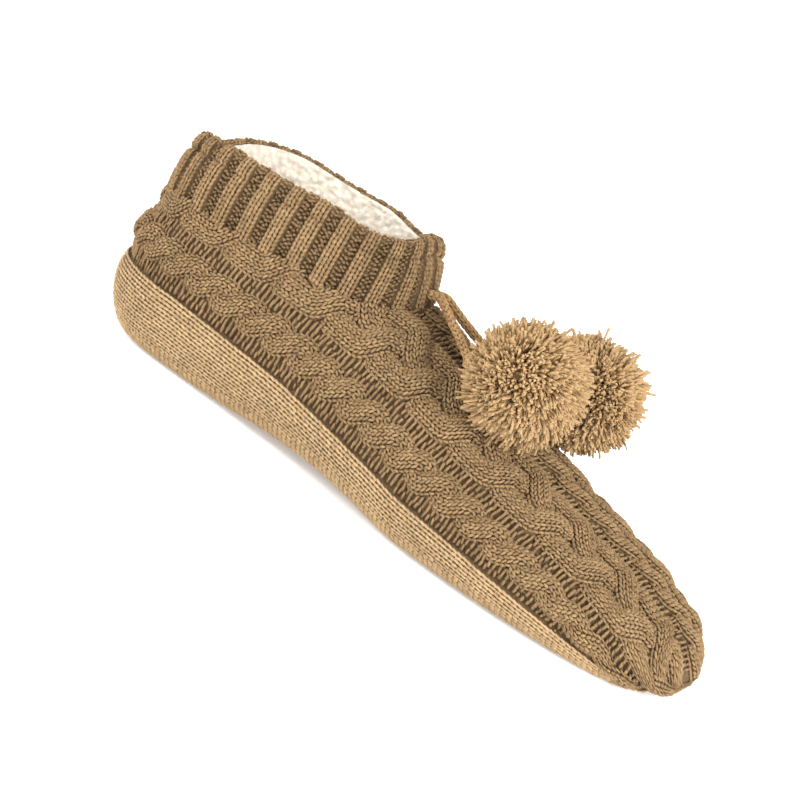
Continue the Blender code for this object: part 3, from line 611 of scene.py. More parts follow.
class Strand:
    """One strand of a cable: its middle line over along, and the height of its rounded top.

    heights are its height at rest, its rise over other strands and its sink under them.
    """

    def __init__(self, middle, reach, lanes, phase, repeat, half, dome, heights):
        self.middle, self.reach, self.lanes, self.phase, self.repeat = middle, reach, lanes, phase, repeat
        self.half, self.dome, self.heights = half, dome, heights

    def line(self, along):
        lane, over, under = self.lanes(self.phase - along / self.repeat)
        rest, rise, sink = self.heights
        return self.middle + self.reach * lane, rest + rise * over - sink * under

    def slope(self, along):
        return (self.line(along + 0.0002)[0] - self.line(along - 0.0002)[0]) / 0.0004

    def spot(self, along, offset):
        """Place of a point on the strand's rounded top, offset sideways from its middle."""
        across, height = self.line(along)
        angle = np.arctan(self.slope(along))
        body = self.dome * np.sqrt(np.maximum(0.0, 1.0 - (offset / self.half) ** 2))
        return np.stack([along - np.sin(angle) * offset, across + np.cos(angle) * offset, height + body], 1)

    def height_at(self, along, across, reach=1.0):
        """Height of the strand's top at a place, or far down beside it. reach narrows its sides."""
        middle, height = self.line(along)
        offset = (across - middle) * np.cos(np.arctan(self.slope(along)))
        share = 1.0 - (offset / (self.half * reach)) ** 2
        return np.where(share > 0.0, height + self.dome * np.sqrt(np.maximum(share, 0.0)), -1.0)


def knit_strands(stitches, strands, lines, spacing, hand, start, end, margins):
    """Lays stitch legs on each strand, left out where another strand hides them."""
    fine = np.arange(start - 0.004, end + 0.004, 0.0003)
    for strand in strands:
        for line in range(lines):
            offset = (line - (lines - 1) / 2.0) * spacing
            tilt = KNIT_TILT * (-1.0 if line % 2 else 1.0)
            curve = strand.spot(fine, offset)
            run = run_of(curve[:, :2])
            marks = np.arange(ROW * 0.15 * (line // 2), run[-1] - 2.0 * ROW, ROW)
            head = read_row(marks, run, curve)
            tail = read_row(marks + ROW * 1.28, run, curve)
            way = unit(tail[:, :2] - head[:, :2])
            sideways = np.stack([-way[:, 1], way[:, 0]], 1) * tilt
            head[:, :2] += sideways
            tail[:, :2] -= sideways
            middle = (head + tail) / 2.0
            seen = (middle[:, 0] > start) & (middle[:, 0] < end)
            for other in strands:
                if other is not strand:
                    cover = other.height_at(middle[:, 0], middle[:, 1])
                    seen &= cover < middle[:, 2] + 0.0007
            low = np.maximum(np.abs(head[:, 1]), np.abs(tail[:, 1]))
            high = np.minimum(head[:, 1], tail[:, 1])
            seam = SKIN.line(SKIN.seam_across, middle[:, 0])
            top = SKIN.line(SKIN.top_across, middle[:, 0])
            seen &= (low < seam - margins[1]) & ((high > top + margins[0]) | (middle[:, 0] < SKIN.throat))
            tail[:, 2] -= KNIT_SINK
            head[:, 1] *= hand
            tail[:, 1] *= hand
            stitches.add(head[seen], tail[seen], spacing * 0.50, KNIT_LEG_THICK, arch=KNIT_ARCH)


PURL_DICE = np.random.default_rng(5)


def knit_purl(stitches, strands, columns, hand, start, end):
    """Purl ground: a column of arched bars across the knit for each pair of limits."""
    alongs = np.arange(start, end, ROW)
    for index, (top, low) in enumerate(columns):
        rows = alongs + ROW * 0.5 * (index % 2)
        middle = np.full(len(rows), (top + low) / 2.0)
        seen = np.ones(len(rows), bool)
        for strand in strands:
            signed = middle * hand if strand in MIDDLE_CABLE else middle
            seen &= strand.height_at(rows, signed) < -0.0009
        seam = SKIN.line(SKIN.seam_across, rows)
        edge = SKIN.line(SKIN.top_across, rows)
        seen &= (top < seam - 0.0006) & ((low > edge + 0.0006) | (rows < SKIN.throat))
        first = np.maximum(top, np.where(rows < SKIN.throat, top, edge - 0.0003))
        last = np.minimum(low, seam + 0.0003)
        head = np.stack([rows, first, np.full(len(rows), PURL_START_LEVEL)], 1)
        tail = np.stack([rows + 0.0006, last, np.full(len(rows), PURL_END_LEVEL)], 1)
        head[:, 1] *= hand
        tail[:, 1] *= hand
        bow = 0.0003 * hand * (1.0 if index % 2 else -1.0)
        slack = PURL_DICE.normal(0.0, 1.0, (2, len(rows), 3)) * (0.00024, 0.00040, 0.00022)
        head, tail = head + slack[0], tail + slack[1]
        stitches.add(head[seen], tail[seen], PURL_THICK, PURL_THICK, bow, PURL_ARCH)


def purl_columns(top, low, width):
    """Limits of even columns of about a width between two lines, each reaching over the next."""
    count = max(1, round((low - top) / width))
    step = (low - top) / count
    return [(top + step * (index - 0.12), top + step * (index + 1.12)) for index in range(count)]


# Cuff.

def collar_edge():
    """The upper's top edge from throat to back as places, with the outward direction there."""
    alongs = np.linspace(SKIN.throat, SKIN.end, 400)
    arc = SKIN.line(SKIN.top_arc, alongs)
    places = SKIN.at(alongs, arc, np.zeros(len(alongs)), np.full(len(alongs), -1.0))
    lengths = run_of(places)
    even = np.linspace(0.0, lengths[-1], 240)
    places = read_row(even, lengths, places)
    tangent = np.gradient(places, axis=0)
    tangent[0] = (0.0, -1.0, 0.0)
    tangent[-1] = (0.0, 1.0, 0.0)
    return even, places, unit(np.stack([-tangent[:, 1], tangent[:, 0], np.zeros(len(even))], 1))


EDGE_LENGTHS, EDGE_PLACES, EDGE_OUT = collar_edge()
CUFF_HALF = EDGE_LENGTHS[-1]


def cuff_profile(climb):
    """Share of the cuff's rise, and the way out, at a distance up the wall and over the rim."""
    wall = CUFF_WIDTH - RIM_RADIUS
    turn = np.clip((climb - wall) / RIM_RADIUS, 0.0, math.pi)
    past = np.maximum(0.0, climb - wall - math.pi * RIM_RADIUS)
    rise = np.minimum(climb, wall) + RIM_RADIUS * np.sin(turn) - past
    share = np.clip(rise / CUFF_WIDTH, 0.0, 1.0)
    bulge = CUFF_BULGE * np.sin(math.pi * np.clip(share, 0.0, 1.0)) ** 0.8
    crease = -CREASE_DEPTH * np.exp(-((climb - CREASE_CLIMB) / CREASE_REACH) ** 2)
    out = np.where(climb <= wall, bulge + crease, -RIM_RADIUS * (1.0 - np.cos(turn)))
    return rise, out, turn


def on_cuff(around, climb, height):
    """Around is negative on the near side, 0 at the front. Climb goes up the wall and in over the rim."""
    side = np.clip(np.abs(around), 0.0, CUFF_HALF)
    foot = read_row(side, EDGE_LENGTHS, EDGE_PLACES)
    out = unit(read_row(side, EDGE_LENGTHS, EDGE_OUT))
    lean = LEAN_FRONT * np.maximum(0.0, out[:, 0]) ** 2 + LEAN_SIDE * out[:, 1] ** 2 \
        + LEAN_BACK * np.maximum(0.0, -out[:, 0]) ** 2
    rise, stand, turn = cuff_profile(climb)
    lean = lean / CUFF_WIDTH
    up = np.sqrt(1.0 - lean ** 2)
    normal_out = up * np.cos(turn)
    normal_up = lean * np.cos(turn) + np.sin(turn)
    spot = foot + out * (-lean * rise + up * stand + normal_out * height)[:, None]
    spot[:, 2] += GAP + up * rise + lean * stand + normal_up * height
    spot[:, 1] = np.minimum(spot[:, 1], 0.0) * np.where(around < 0.0, 1.0, -1.0)
    return spot


def knit_cuff(ribs, valleys, hand):
    """Ribs of two plain columns, four lines of legs, stand up, and purl bars lie back between them."""
    count = CUFF_RIBS // 2
    pitch = CUFF_HALF / count
    climbs = np.arange(-0.0006 - RIB_ROW, CUFF_WIDTH + 0.0026, RIB_ROW)
    for rib in range(count):
        middle = (rib + 0.5) * pitch
        for line in range(RIB_LINES):
            offset = (line - (RIB_LINES - 1) / 2.0) * RIB_LINE
            tilt = RIB_TILT * (-1.0 if line % 2 else 1.0)
            around = np.full(len(climbs), middle + offset)
            rows = climbs + RIB_ROW * 0.12 * (line // 2)
            level = np.full(len(climbs), RIB_EDGE_LEVEL if line in (0, RIB_LINES - 1) else RIB_TOP_LEVEL)
            head = np.stack([(around + tilt) * hand, rows, level], 1)
            tail = np.stack([(around - tilt) * hand, rows + RIB_ROW * 1.32, level - LEG_SINK], 1)
            ribs.add(head, tail, RIB_LINE * 0.50, RIB_LEG_THICK, arch=KNIT_ARCH)
    climbs = np.arange(-0.0039, CUFF_WIDTH + 0.0026, RIB_ROW)
    hem = ease((climbs - (CUFF_WIDTH - 0.0040)) / 0.0028)
    for valley in range(count + 1):
        for column in range(-1, 2):
            near, far = (column - 0.5) * RIB_LINE, (column + 0.5) * RIB_LINE
            if (valley == 0 and far <= 0.0) or (valley == count and near >= 0.0):
                continue
            middle = valley * pitch
            level = VALLEY_BARS + hem * VALLEY_BARS_RISE
            rows = climbs + RIB_ROW * 0.5 * (column % 2)
            head = np.stack([np.full(len(rows), (middle + near - 0.0002) * hand), rows, level], 1)
            tail = np.stack([np.full(len(rows), (middle + far + 0.0002) * hand), rows + 0.0002, level], 1)
            head += PURL_DICE.normal(0.0, 1.0, head.shape) * (0.00014, 0.00022, 0.00016)
            tail += PURL_DICE.normal(0.0, 1.0, tail.shape) * (0.00014, 0.00022, 0.00016)
            bow = 0.0002 * (1.0 if column % 2 else -1.0)
            valleys.add(head, tail, VALLEY_WIDE, VALLEY_THICK, bow, VALLEY_ARCH)


# Sheets of cloth under the stitches. The grounds are coloured dark brown: painted shade for the gaps between
# the stitches.

def constant(value):
    return lambda a: np.full(len(a), value)


def top_edge(hand):
    """Across of the upper's top edge on one side, and a little past it behind the throat."""
    return lambda a: (SKIN.line(SKIN.top_across, a) - 0.003 * (a > SKIN.throat)) * hand


def past_line(table, more, hand):
    """A line of the skin on one side, and a distance past it."""
    return lambda a: (SKIN.line(table, a) + more) * hand


def half_round(hand, steps):
    """Range of the cuff's half on one side."""
    return min(0.0, hand * CUFF_HALF), max(0.0, hand * CUFF_HALF), steps


def grid_piece(name, cloth, first, second, height):
    """A grid primitive laid on a cloth between two ranges of its coordinates."""
    bpy.ops.object.select_all(action="DESELECT")
    bpy.ops.mesh.primitive_grid_add(x_subdivisions=first[2], y_subdivisions=second[2], size=2.0)
    piece = bpy.context.object
    piece.name = name
    piece.data.name = name
    places = np.zeros(len(piece.data.vertices) * 3)
    piece.data.vertices.foreach_get("co", places)
    places = places.reshape(-1, 3)
    a = first[0] + (first[1] - first[0]) * (places[:, 0] + 1.0) / 2.0
    b = (places[:, 1] + 1.0) / 2.0
    low, high = second[0](a), second[1](a)
    b = low + (high - low) * b
    level = height(a, b) if callable(height) else np.full(len(a), height)
    spots = cloth(a, b, level)
    over = cloth(a, b, level + 0.001) - spots
    piece.data.vertices.foreach_set("co", spots.astype(np.float32).ravel())
    piece.data.update()
    faces = np.zeros(len(piece.data.vertices) * 3)
    piece.data.vertices.foreach_get("normal", faces)
    if (faces.reshape(-1, 3) * over).sum() < 0.0:
        piece.data.flip_normals()
    piece.data.shade_smooth()
    return piece


def thicken(piece, thickness):
    """Gives a sheet its thickness inward."""
    only(piece)
    wall = piece.modifiers.new("Wall", "SOLIDIFY")
    wall.thickness = thickness
    wall.offset = -1.0
    bpy.ops.object.modifier_apply(modifier="Wall")
    return piece


def ruffle(piece, strength):
    """Raises curls of fleece out of a sheet."""
    only(piece)
    for label, kind, scale, share in (("curls", "VORONOI", CURL_SIZE, -1.0),
                                      ("tufts", "CLOUDS", CURL_SIZE * 0.7, 0.6)):
        pattern = bpy.data.textures.new(piece.name + "_" + label, kind)
        pattern.noise_scale = scale
        raised = piece.modifiers.new(label, "DISPLACE")
        raised.texture = pattern
        raised.texture_coords = "LOCAL"
        raised.strength = strength * share
        raised.mid_level = 0.5
        bpy.ops.object.modifier_apply(modifier=label)
    return piece


def join(name, parts):
    only(parts[0])
    for part in parts[1:]:
        part.select_set(True)
    bpy.ops.object.join()
    piece = bpy.context.object
    piece.name = name
    piece.data.name = name
    return piece


def both_halves(name, half, hand):
    """One piece of a sheet's two halves, the one on hand first."""
    return join(name, [half(name + "_first", hand), half(name + "_second", -hand)])


# Cord.

def smooth_path(points, count):
    """A smooth curve through the points, as even steps of length and the places there."""
    spots = np.array(points, float)
    before = np.vstack([2.0 * spots[0] - spots[1], spots[:-1]])
    after = np.vstack([spots[1:], 2.0 * spots[-1] - spots[-2]])
    slopes = (after - before) / 2.0
    t = np.linspace(0.0, 1.0, 20, endpoint=False)[:, None]
    fine = [a * (2 * t ** 3 - 3 * t ** 2 + 1) + b * (3 * t ** 2 - 2 * t ** 3)
            + p * (t ** 3 - 2 * t ** 2 + t) + q * (t ** 3 - t ** 2)
            for a, b, p, q in zip(spots[:-1], spots[1:], slopes[:-1], slopes[1:])]
    fine = np.vstack(fine + [spots[-1:]])
    lengths = run_of(fine)
    even = np.linspace(0.0, lengths[-1], count)
    return even, read_row(even, lengths, fine)


def cord_cloth(points):
    """Cloth of a cord: along its path, and around it at its radius."""
    lengths, path = smooth_path(points, 80)
    tangent = unit(np.gradient(path, axis=0))
    side = unit(np.cross(tangent, (0.0, 0.0, 1.0)))
    up = np.cross(side, tangent)
    radius = CORD_RADIUS - CORD_BEDDING

    def cloth(along, around, height):
        angle = (around / radius)[:, None]
        radial = read_row(along, lengths, up) * np.cos(angle) - read_row(along, lengths, side) * np.sin(angle)
        return read_row(along, lengths, path) + radial * (radius + height)[:, None]

    return cloth, lengths[-1], radius


def cord_piece(side):
    cloth, length, radius = cord_cloth(CORD_ROUTES[side])
    stitches = Stitches(cloth)
    girth = 2.0 * math.pi * radius
    spacing = girth / CORD_LINES
    alongs = np.arange(-0.0004, length - 0.0006, CORD_ROW)
    for line in range(CORD_LINES):
        around = line * spacing
        tilt = CORD_TILT * (1.0 if line % 2 else -1.0)
        level = np.zeros(len(alongs))
        head = np.stack([alongs, level + around + tilt, level], 1)
        tail = np.stack([alongs + CORD_ROW * 1.35, level + around - tilt, level], 1)
        stitches.add(head, tail, spacing * 0.56, CORD_LEG_THICK)
    knit = stitches.piece("drawstring_" + side, "cord_knit", STITCH)
    core = grid_piece("core_" + side, cloth, (0.0, length, 60),
                      (constant(0.0), constant(girth), 12), -LEG_SINK)
    return join("drawstring_" + side, [knit, core])


# Pompoms.

def frames_across(way):
    """Two directions square to each way and to each other."""
    helper = np.where(np.abs(way[:, 2:]) < 0.9, [[0.0, 0.0, 1.0]], [[1.0, 0.0, 0.0]])
    first = unit(np.cross(way, helper))
    return first, np.cross(way, first)


def pompom_piece(side, seed):
    """Cut yarn ends packed close round a core, leaning with their neighbours and trimmed to a ball."""
    dice = np.random.default_rng(seed)
    form, totals, corners = YARN_END
    count = POMPOM_ENDS
    index = np.arange(count) + 0.5
    rise = 1.0 - 2.0 * index / count
    turn = math.pi * (1.0 + math.sqrt(5.0)) * index
    ring = np.sqrt(1.0 - rise ** 2)
    way = np.stack([ring * np.cos(turn), ring * np.sin(turn), rise], 1)
    way = unit(way + dice.normal(0.0, 0.035, way.shape))
    clumps = unit(dice.normal(0.0, 1.0, (POMPOM_CLUMPS, 3)))
    nearest = np.argmax(way @ clumps.T, axis=1)
    tip = 0.975 + dice.normal(0.0, 0.017, count) + 0.018 * dice.normal(0.0, 1.0, POMPOM_CLUMPS)[nearest]
    tip = POMPOM_RADIUS * np.minimum(tip, 1.07)
    root = np.full(count, POMPOM_ROOT)
    swirl = np.cross(way, dice.normal(0.0, 1.0, 3))
    bend = (clumps[nearest] - way) * 0.30 + swirl * 0.08 + dice.normal(0.0, 0.085, way.shape)
    bend[:, 2] -= 0.04
    first, second = frames_across(way)
    z = form[:, 2]
    radius = root[:, None] + (tip - root)[:, None] * z[None, :]
    middle = (way[:, None, :] + bend[:, None, :] * (z ** 2)[None, :, None]) * radius[:, :, None]
    thick = POMPOM_END_THICK * dice.uniform(0.75, 1.2, count)
    flare = np.interp(z, [0.0, YARN_END_JOINT, 1.0], [0.6, 0.95, 1.2])
    ring = form[None, :, 0, None] * first[:, None, :] + form[None, :, 1, None] * second[:, None, :]
    places = middle + ring * (thick[:, None, None] * flare[None, :, None]) + np.array(POMPOM_CENTRES[side])
    # Ends are darker toward their roots and lighter at their tips: painted shade deep inside the ball, with a
    # random tone for each end.
    shade = 0.70 * z[None, :] ** 2.5 + 0.45 * dice.uniform(0.0, 1.0, count)[:, None]
    thread = np.stack([form[None, :, 0] * np.ones((count, 1)), form[None, :, 1] * np.ones((count, 1)),
                       z[None, :] * (tip - root)[:, None] * 1000.0], 2)
    thread += dice.uniform(0.0, 50.0, (count, 1, 3))
    ball = joined_mesh("pompom_" + side, places, totals, corners, shade, thread)
    bpy.ops.object.select_all(action="DESELECT")
    bpy.ops.mesh.primitive_ico_sphere_add(subdivisions=3, radius=POMPOM_CORE, location=POMPOM_CENTRES[side])
    bpy.ops.object.transform_apply(location=True)
    return join("pompom_" + side, [ball, bpy.context.object])


# Fuzz.

def fuzz_piece(name, cloth, along, across, height, seed):
    """Fine fibres that stand off a cloth from roots on it, each leaning its own way."""
    dice = np.random.default_rng(seed)
    count = len(along)
    form, totals, corners = HAIR
    lean = dice.normal(0.0, 0.0009, (2, count))
    root = cloth(along, across, height)
    tip = cloth(along + lean[0], across + lean[1], height + dice.uniform(0.0003, 0.0014, count))
    tip[:, 2] = np.maximum(tip[:, 2], 0.0001)
    first, second = frames_across(unit(tip - root))
    z = form[:, 2]
    middle = root[:, None, :] + (tip - root)[:, None, :] * z[None, :, None]
    ring = form[None, :, 0, None] * first[:, None, :] + form[None, :, 1, None] * second[:, None, :]
    places = middle + ring * (HAIR_ROOT - HAIR_TAPER * z)[None, :, None]
    shade = np.repeat(dice.uniform(0.6, 1.0, count), len(form))
    thread = np.repeat(dice.uniform(0.0, 50.0, (count, 1, 3)), len(form), axis=1)
    return joined_mesh(name, places, totals, corners, shade, thread)


def fuzz_upper():
    dice = np.random.default_rng(31)
    along = dice.uniform(SKIN.start + 0.004, SKIN.end - 0.002, UPPER_HAIRS)
    across = dice.uniform(-KNIT_HALF, KNIT_HALF, UPPER_HAIRS)
    side = np.abs(across)
    top = SKIN.line(SKIN.top_across, along)
    kept = side < SKIN.line(SKIN.seam_across, along) - 0.001
    kept &= (side > top + 0.001) | (along < SKIN.throat)
    along, across = along[kept], across[kept]
    height = np.full(len(along), -0.0024)
    for strand in CABLES:
        height = np.maximum(height, strand.height_at(along, np.abs(across)))
    for strand in MIDDLE_CABLE:
        height = np.maximum(height, strand.height_at(along, across))
    return fuzz_piece("fuzz_upper", SKIN.on_upper, along, across, height, 32)


def fuzz_cuff():
    dice = np.random.default_rng(33)
    around = dice.uniform(-CUFF_HALF, CUFF_HALF, CUFF_HAIRS)
    climb = dice.uniform(0.0, CUFF_WIDTH + 0.003, CUFF_HAIRS)
    return fuzz_piece("fuzz_cuff", on_cuff, around, climb, np.full(CUFF_HAIRS, -0.0003), 34)


def fuzz_sole():
    dice = np.random.default_rng(35)
    along = dice.uniform(SKIN.start + 0.006, SKIN.end - 0.002, SOLE_HAIRS)
    low, high = SKIN.line(SKIN.floor_arc, along), SKIN.line(SKIN.seam_arc, along)
    across = low + (high - low) * dice.uniform(0.45, 1.0, SOLE_HAIRS)
    across *= np.where(np.arange(SOLE_HAIRS) % 2, 1.0, -1.0)
    return fuzz_piece("fuzz_sole", SKIN.on_sole, along, across, np.full(SOLE_HAIRS, -0.0003), 36)


# Materials.

def new_group(name, sizes):
    """Node group that takes two colours and some sizes, and puts out a colour and a height."""
    group = bpy.data.node_groups.new(name, "ShaderNodeTree")
    for label in ("Light", "Dark"):
        group.interface.new_socket(name=label, in_out="INPUT", socket_type="NodeSocketColor")
    for label, value in sizes.items():
        socket = group.interface.new_socket(name=label, in_out="INPUT", socket_type="NodeSocketFloat")
        socket.default_value = value
    for label, kind in (("Colour", "NodeSocketColor"), ("Height", "NodeSocketFloat")):
        group.interface.new_socket(name=label, in_out="OUTPUT", socket_type=kind)
    return group, group.nodes.new("NodeGroupInput"), group.nodes.new("NodeGroupOutput")


def put_out(group, source, sink, level, height):
    """Ends a group: level mixes its dark and light colours, and height is its second output."""
    level.use_clamp = True
    mix = group.nodes.new("ShaderNodeMix")
    mix.data_type = "RGBA"
    group.links.new(level.outputs[0], mix.inputs[0])
    group.links.new(source.outputs["Dark"], mix.inputs[6])
    group.links.new(source.outputs["Light"], mix.inputs[7])
    group.links.new(mix.outputs[2], sink.inputs["Colour"])
    group.links.new(height, sink.inputs["Height"])


def yarn_group():
    """Colour and fibre height of yarn: stitches differ a little in tone, sunken stitches and pompom roots are
    darker as painted shade, and fine fibres run along the thread.
    """
    group, source, sink = new_group("yarn", {"Fibre Size": 3.0, "Patch Size": 60.0})
    nodes, links = group.nodes, group.links
    place = nodes.new("ShaderNodeTexCoord")
    shade = nodes.new("ShaderNodeAttribute")
    shade.attribute_name = "shade"
    thread = nodes.new("ShaderNodeAttribute")
    thread.attribute_name = "thread"
    patches = nodes.new("ShaderNodeTexNoise")
    patches.inputs["Detail"].default_value = 2.0
    stretch = nodes.new("ShaderNodeMapping")
    stretch.inputs["Scale"].default_value = (1.0, 1.0, 0.22)
    fibres = nodes.new("ShaderNodeTexNoise")
    fibres.inputs["Detail"].default_value = 3.0
    fibres.inputs["Roughness"].default_value = 0.65
    links.new(place.outputs["Object"], patches.inputs["Vector"])
    links.new(source.outputs["Patch Size"], patches.inputs["Scale"])
    links.new(thread.outputs["Vector"], stretch.inputs["Vector"])
    links.new(stretch.outputs["Vector"], fibres.inputs["Vector"])
    links.new(source.outputs["Fibre Size"], fibres.inputs["Scale"])

    def add_share(value, share, before):
        node = nodes.new("ShaderNodeMath")
        node.operation = "MULTIPLY_ADD"
        node.inputs[1].default_value = share
        links.new(value, node.inputs[0])
        if before is None:
            node.inputs[2].default_value = -0.30
        else:
            links.new(before, node.inputs[2])
        return node

    level = add_share(shade.outputs["Fac"], 0.40, None)
    level = add_share(fibres.outputs["Fac"], 1.10, level.outputs[0])
    level = add_share(patches.outputs["Fac"], 0.35, level.outputs[0])
    put_out(group, source, sink, level, fibres.outputs["Fac"])
    return group


def soft_material(name, group, light, dark, gloss, bump, values):
    """Material of one effect group. gloss and values set sockets of the shader and of the group."""
    material = bpy.data.materials.new(name)
    material.use_nodes = True
    nodes, links = material.node_tree.nodes, material.node_tree.links
    surface = nodes["Principled BSDF"]
    for label, value in gloss.items():
        surface.inputs[label].default_value = value
    effect = nodes.new("ShaderNodeGroup")
    effect.node_tree = group
    effect.inputs["Light"].default_value = (*light, 1.0)
    effect.inputs["Dark"].default_value = (*dark, 1.0)
    for label, value in values.items():
        effect.inputs[label].default_value = value
    links.new(effect.outputs["Colour"], surface.inputs["Base Color"])
    rise = nodes.new("ShaderNodeBump")
    rise.inputs["Strength"].default_value = bump[0]
    rise.inputs["Distance"].default_value = bump[1]
    links.new(effect.outputs["Height"], rise.inputs["Height"])
    links.new(rise.outputs["Normal"], surface.inputs["Normal"])
    return material


def yarn_material(name, light, dark, fibre_size, bump, sheen):
    gloss = {"Roughness": 0.92, "Specular IOR Level": 0.25, "Sheen Weight": sheen, "Sheen Roughness": 0.45,
             "Sheen Tint": (*light, 1.0)}
    return soft_material(name, YARN, light, dark, gloss, (bump, 0.0004), {"Fibre Size": fibre_size})


def curl_group():
    """Colour and height of fleece: soft curls of about two millimetres with finer hair on them."""
    group, source, sink = new_group("fleece curls", {"Curl Scale": 480.0, "Hair Scale": 2600.0})
    nodes, links = group.nodes, group.links
    place = nodes.new("ShaderNodeTexCoord")
    curls = nodes.new("ShaderNodeTexVoronoi")
    curls.feature = "SMOOTH_F1"
    curls.inputs["Smoothness"].default_value = 0.6
    hair = nodes.new("ShaderNodeTexNoise")
    hair.inputs["Detail"].default_value = 3.0
    hair.inputs["Distortion"].default_value = 0.8
    links.new(place.outputs["Object"], curls.inputs["Vector"])
    links.new(source.outputs["Curl Scale"], curls.inputs["Scale"])
    links.new(place.outputs["Object"], hair.inputs["Vector"])
    links.new(source.outputs["Hair Scale"], hair.inputs["Scale"])
    level = nodes.new("ShaderNodeMath")
    level.operation = "MULTIPLY_ADD"
    level.inputs[1].default_value = 0.5
    links.new(hair.outputs["Fac"], level.inputs[0])
    swell = nodes.new("ShaderNodeMath")
    swell.operation = "SUBTRACT"
    swell.inputs[0].default_value = 0.95
    links.new(curls.outputs["Distance"], swell.inputs[1])
    links.new(swell.outputs[0], level.inputs[2])
    put_out(group, source, sink, level, level.outputs[0])
    return group


def fleece_material(light, dark):
    gloss = {"Roughness": 0.95, "Specular IOR Level": 0.2, "Sheen Weight": 0.5, "Sheen Roughness": 0.5}
    return soft_material("fleece", curl_group(), light, dark, gloss, (0.8, 0.0008), {})


def dress(piece, material, *nodes):
    piece.data.materials.clear()
    piece.data.materials.append(material)
    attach(piece, "root")
    if nodes:
        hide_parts(*nodes)
    return piece


# Making. The camera comes first.

VIEW_TURN = math.radians(18.0)
VIEW_RISE = math.radians(14.0)
VIEW_ROLL = math.radians(30.0)
VIEW_DISTANCE = 0.76
VIEW_CENTRE = Vector((-0.009, -0.003, 0.0325))

camera_data = bpy.data.cameras.new("Camera")
camera_data.lens = 100.0
camera_data.sensor_width = 36.0
camera_data.dof.use_dof = False
camera = bpy.data.objects.new("Camera", camera_data)
bpy.context.scene.collection.objects.link(camera)
back = Vector((math.sin(VIEW_TURN) * math.cos(VIEW_RISE), -math.cos(VIEW_TURN) * math.cos(VIEW_RISE),
               math.sin(VIEW_RISE)))
look = (-back).to_track_quat("-Z", "Y").to_matrix().to_4x4() @ Matrix.Rotation(VIEW_ROLL, 4, "Z")
camera.matrix_world = Matrix.Translation(VIEW_CENTRE + back * VIEW_DISTANCE) @ look
bpy.context.scene.camera = camera

YARN = yarn_group()
STITCH = stitch_form(5, 3)
SMALL_STITCH = stitch_form(4, 3)
YARN_END = strand_form(YARN_END_JOINT)
HAIR = strand_form(0.0)

KNIT_YARN = yarn_material("cable_knit", (0.356, 0.230, 0.112), (0.100, 0.059, 0.026), 3.2, 0.7, 0.25)
SOLE_YARN = yarn_material("sole_knit", (0.525, 0.363, 0.196), (0.245, 0.156, 0.078), 3.2, 0.6, 0.3)
CORD_YARN = yarn_material("cord_knit", (0.52, 0.325, 0.150), (0.24, 0.135, 0.058), 3.2, 0.6, 0.25)
POMPOM_YARN = yarn_material("pompom_yarn", (0.47, 0.306, 0.148), (0.17, 0.100, 0.044), 2.0, 0.5, 0.25)
# The knit ground's dark brown is painted shade for the gaps between the upper's and the cuff's stitches.
KNIT_GROUND_PAINTED_SHADE = yarn_material("knit_ground_painted_shade", (0.14, 0.086, 0.041), (0.075, 0.045, 0.021), 3.0, 0.5, 0.1)
# The sole ground's dark brown is painted shade for the gaps between the sole's stitches and the dark line at
# the seam.
SOLE_GROUND_PAINTED_SHADE = yarn_material("sole_ground", (0.17, 0.11, 0.057), (0.09, 0.056, 0.028), 3.0, 0.5, 0.1)
FLEECE = fleece_material((0.80, 0.73, 0.62), (0.52, 0.45, 0.36))

for order, side in enumerate(("near", "far")):
    pompom = dress(pompom_piece(side, 11 + order), POMPOM_YARN, "pompom_" + side)
    pompom.name = "pompom_yarn_" + side
    cord = dress(cord_piece(side), CORD_YARN, "drawstring_" + side)
    cord.name = "drawstring_knit_" + side

PLAIT = [Strand((PLAIT_TOP + PLAIT_LOW) / 2.0, PLAIT_WIDTH / 3.0, plait_lane, -2.0 * strand - 0.5,
                PLAIT_REPEAT / 2.0, 0.0049, 0.0023, (-0.0029, 0.0010, 0.0011)) for strand in range(3)]
ROPE = [Strand((ROPE_TOP + ROPE_LOW) / 2.0, 0.0029, rope_lane, float(strand), ROPE_REPEAT, 0.0034, 0.0023,
               (-0.0030, 0.0012, 0.0012)) for strand in range(2)]
MIDDLE_CABLE = [Strand(0.0, 0.0030, rope_lane, float(strand), ROPE_REPEAT, 0.0035, 0.0022,
                       (-0.0029, 0.0011, 0.0012)) for strand in range(2)]
CABLES = PLAIT + ROPE

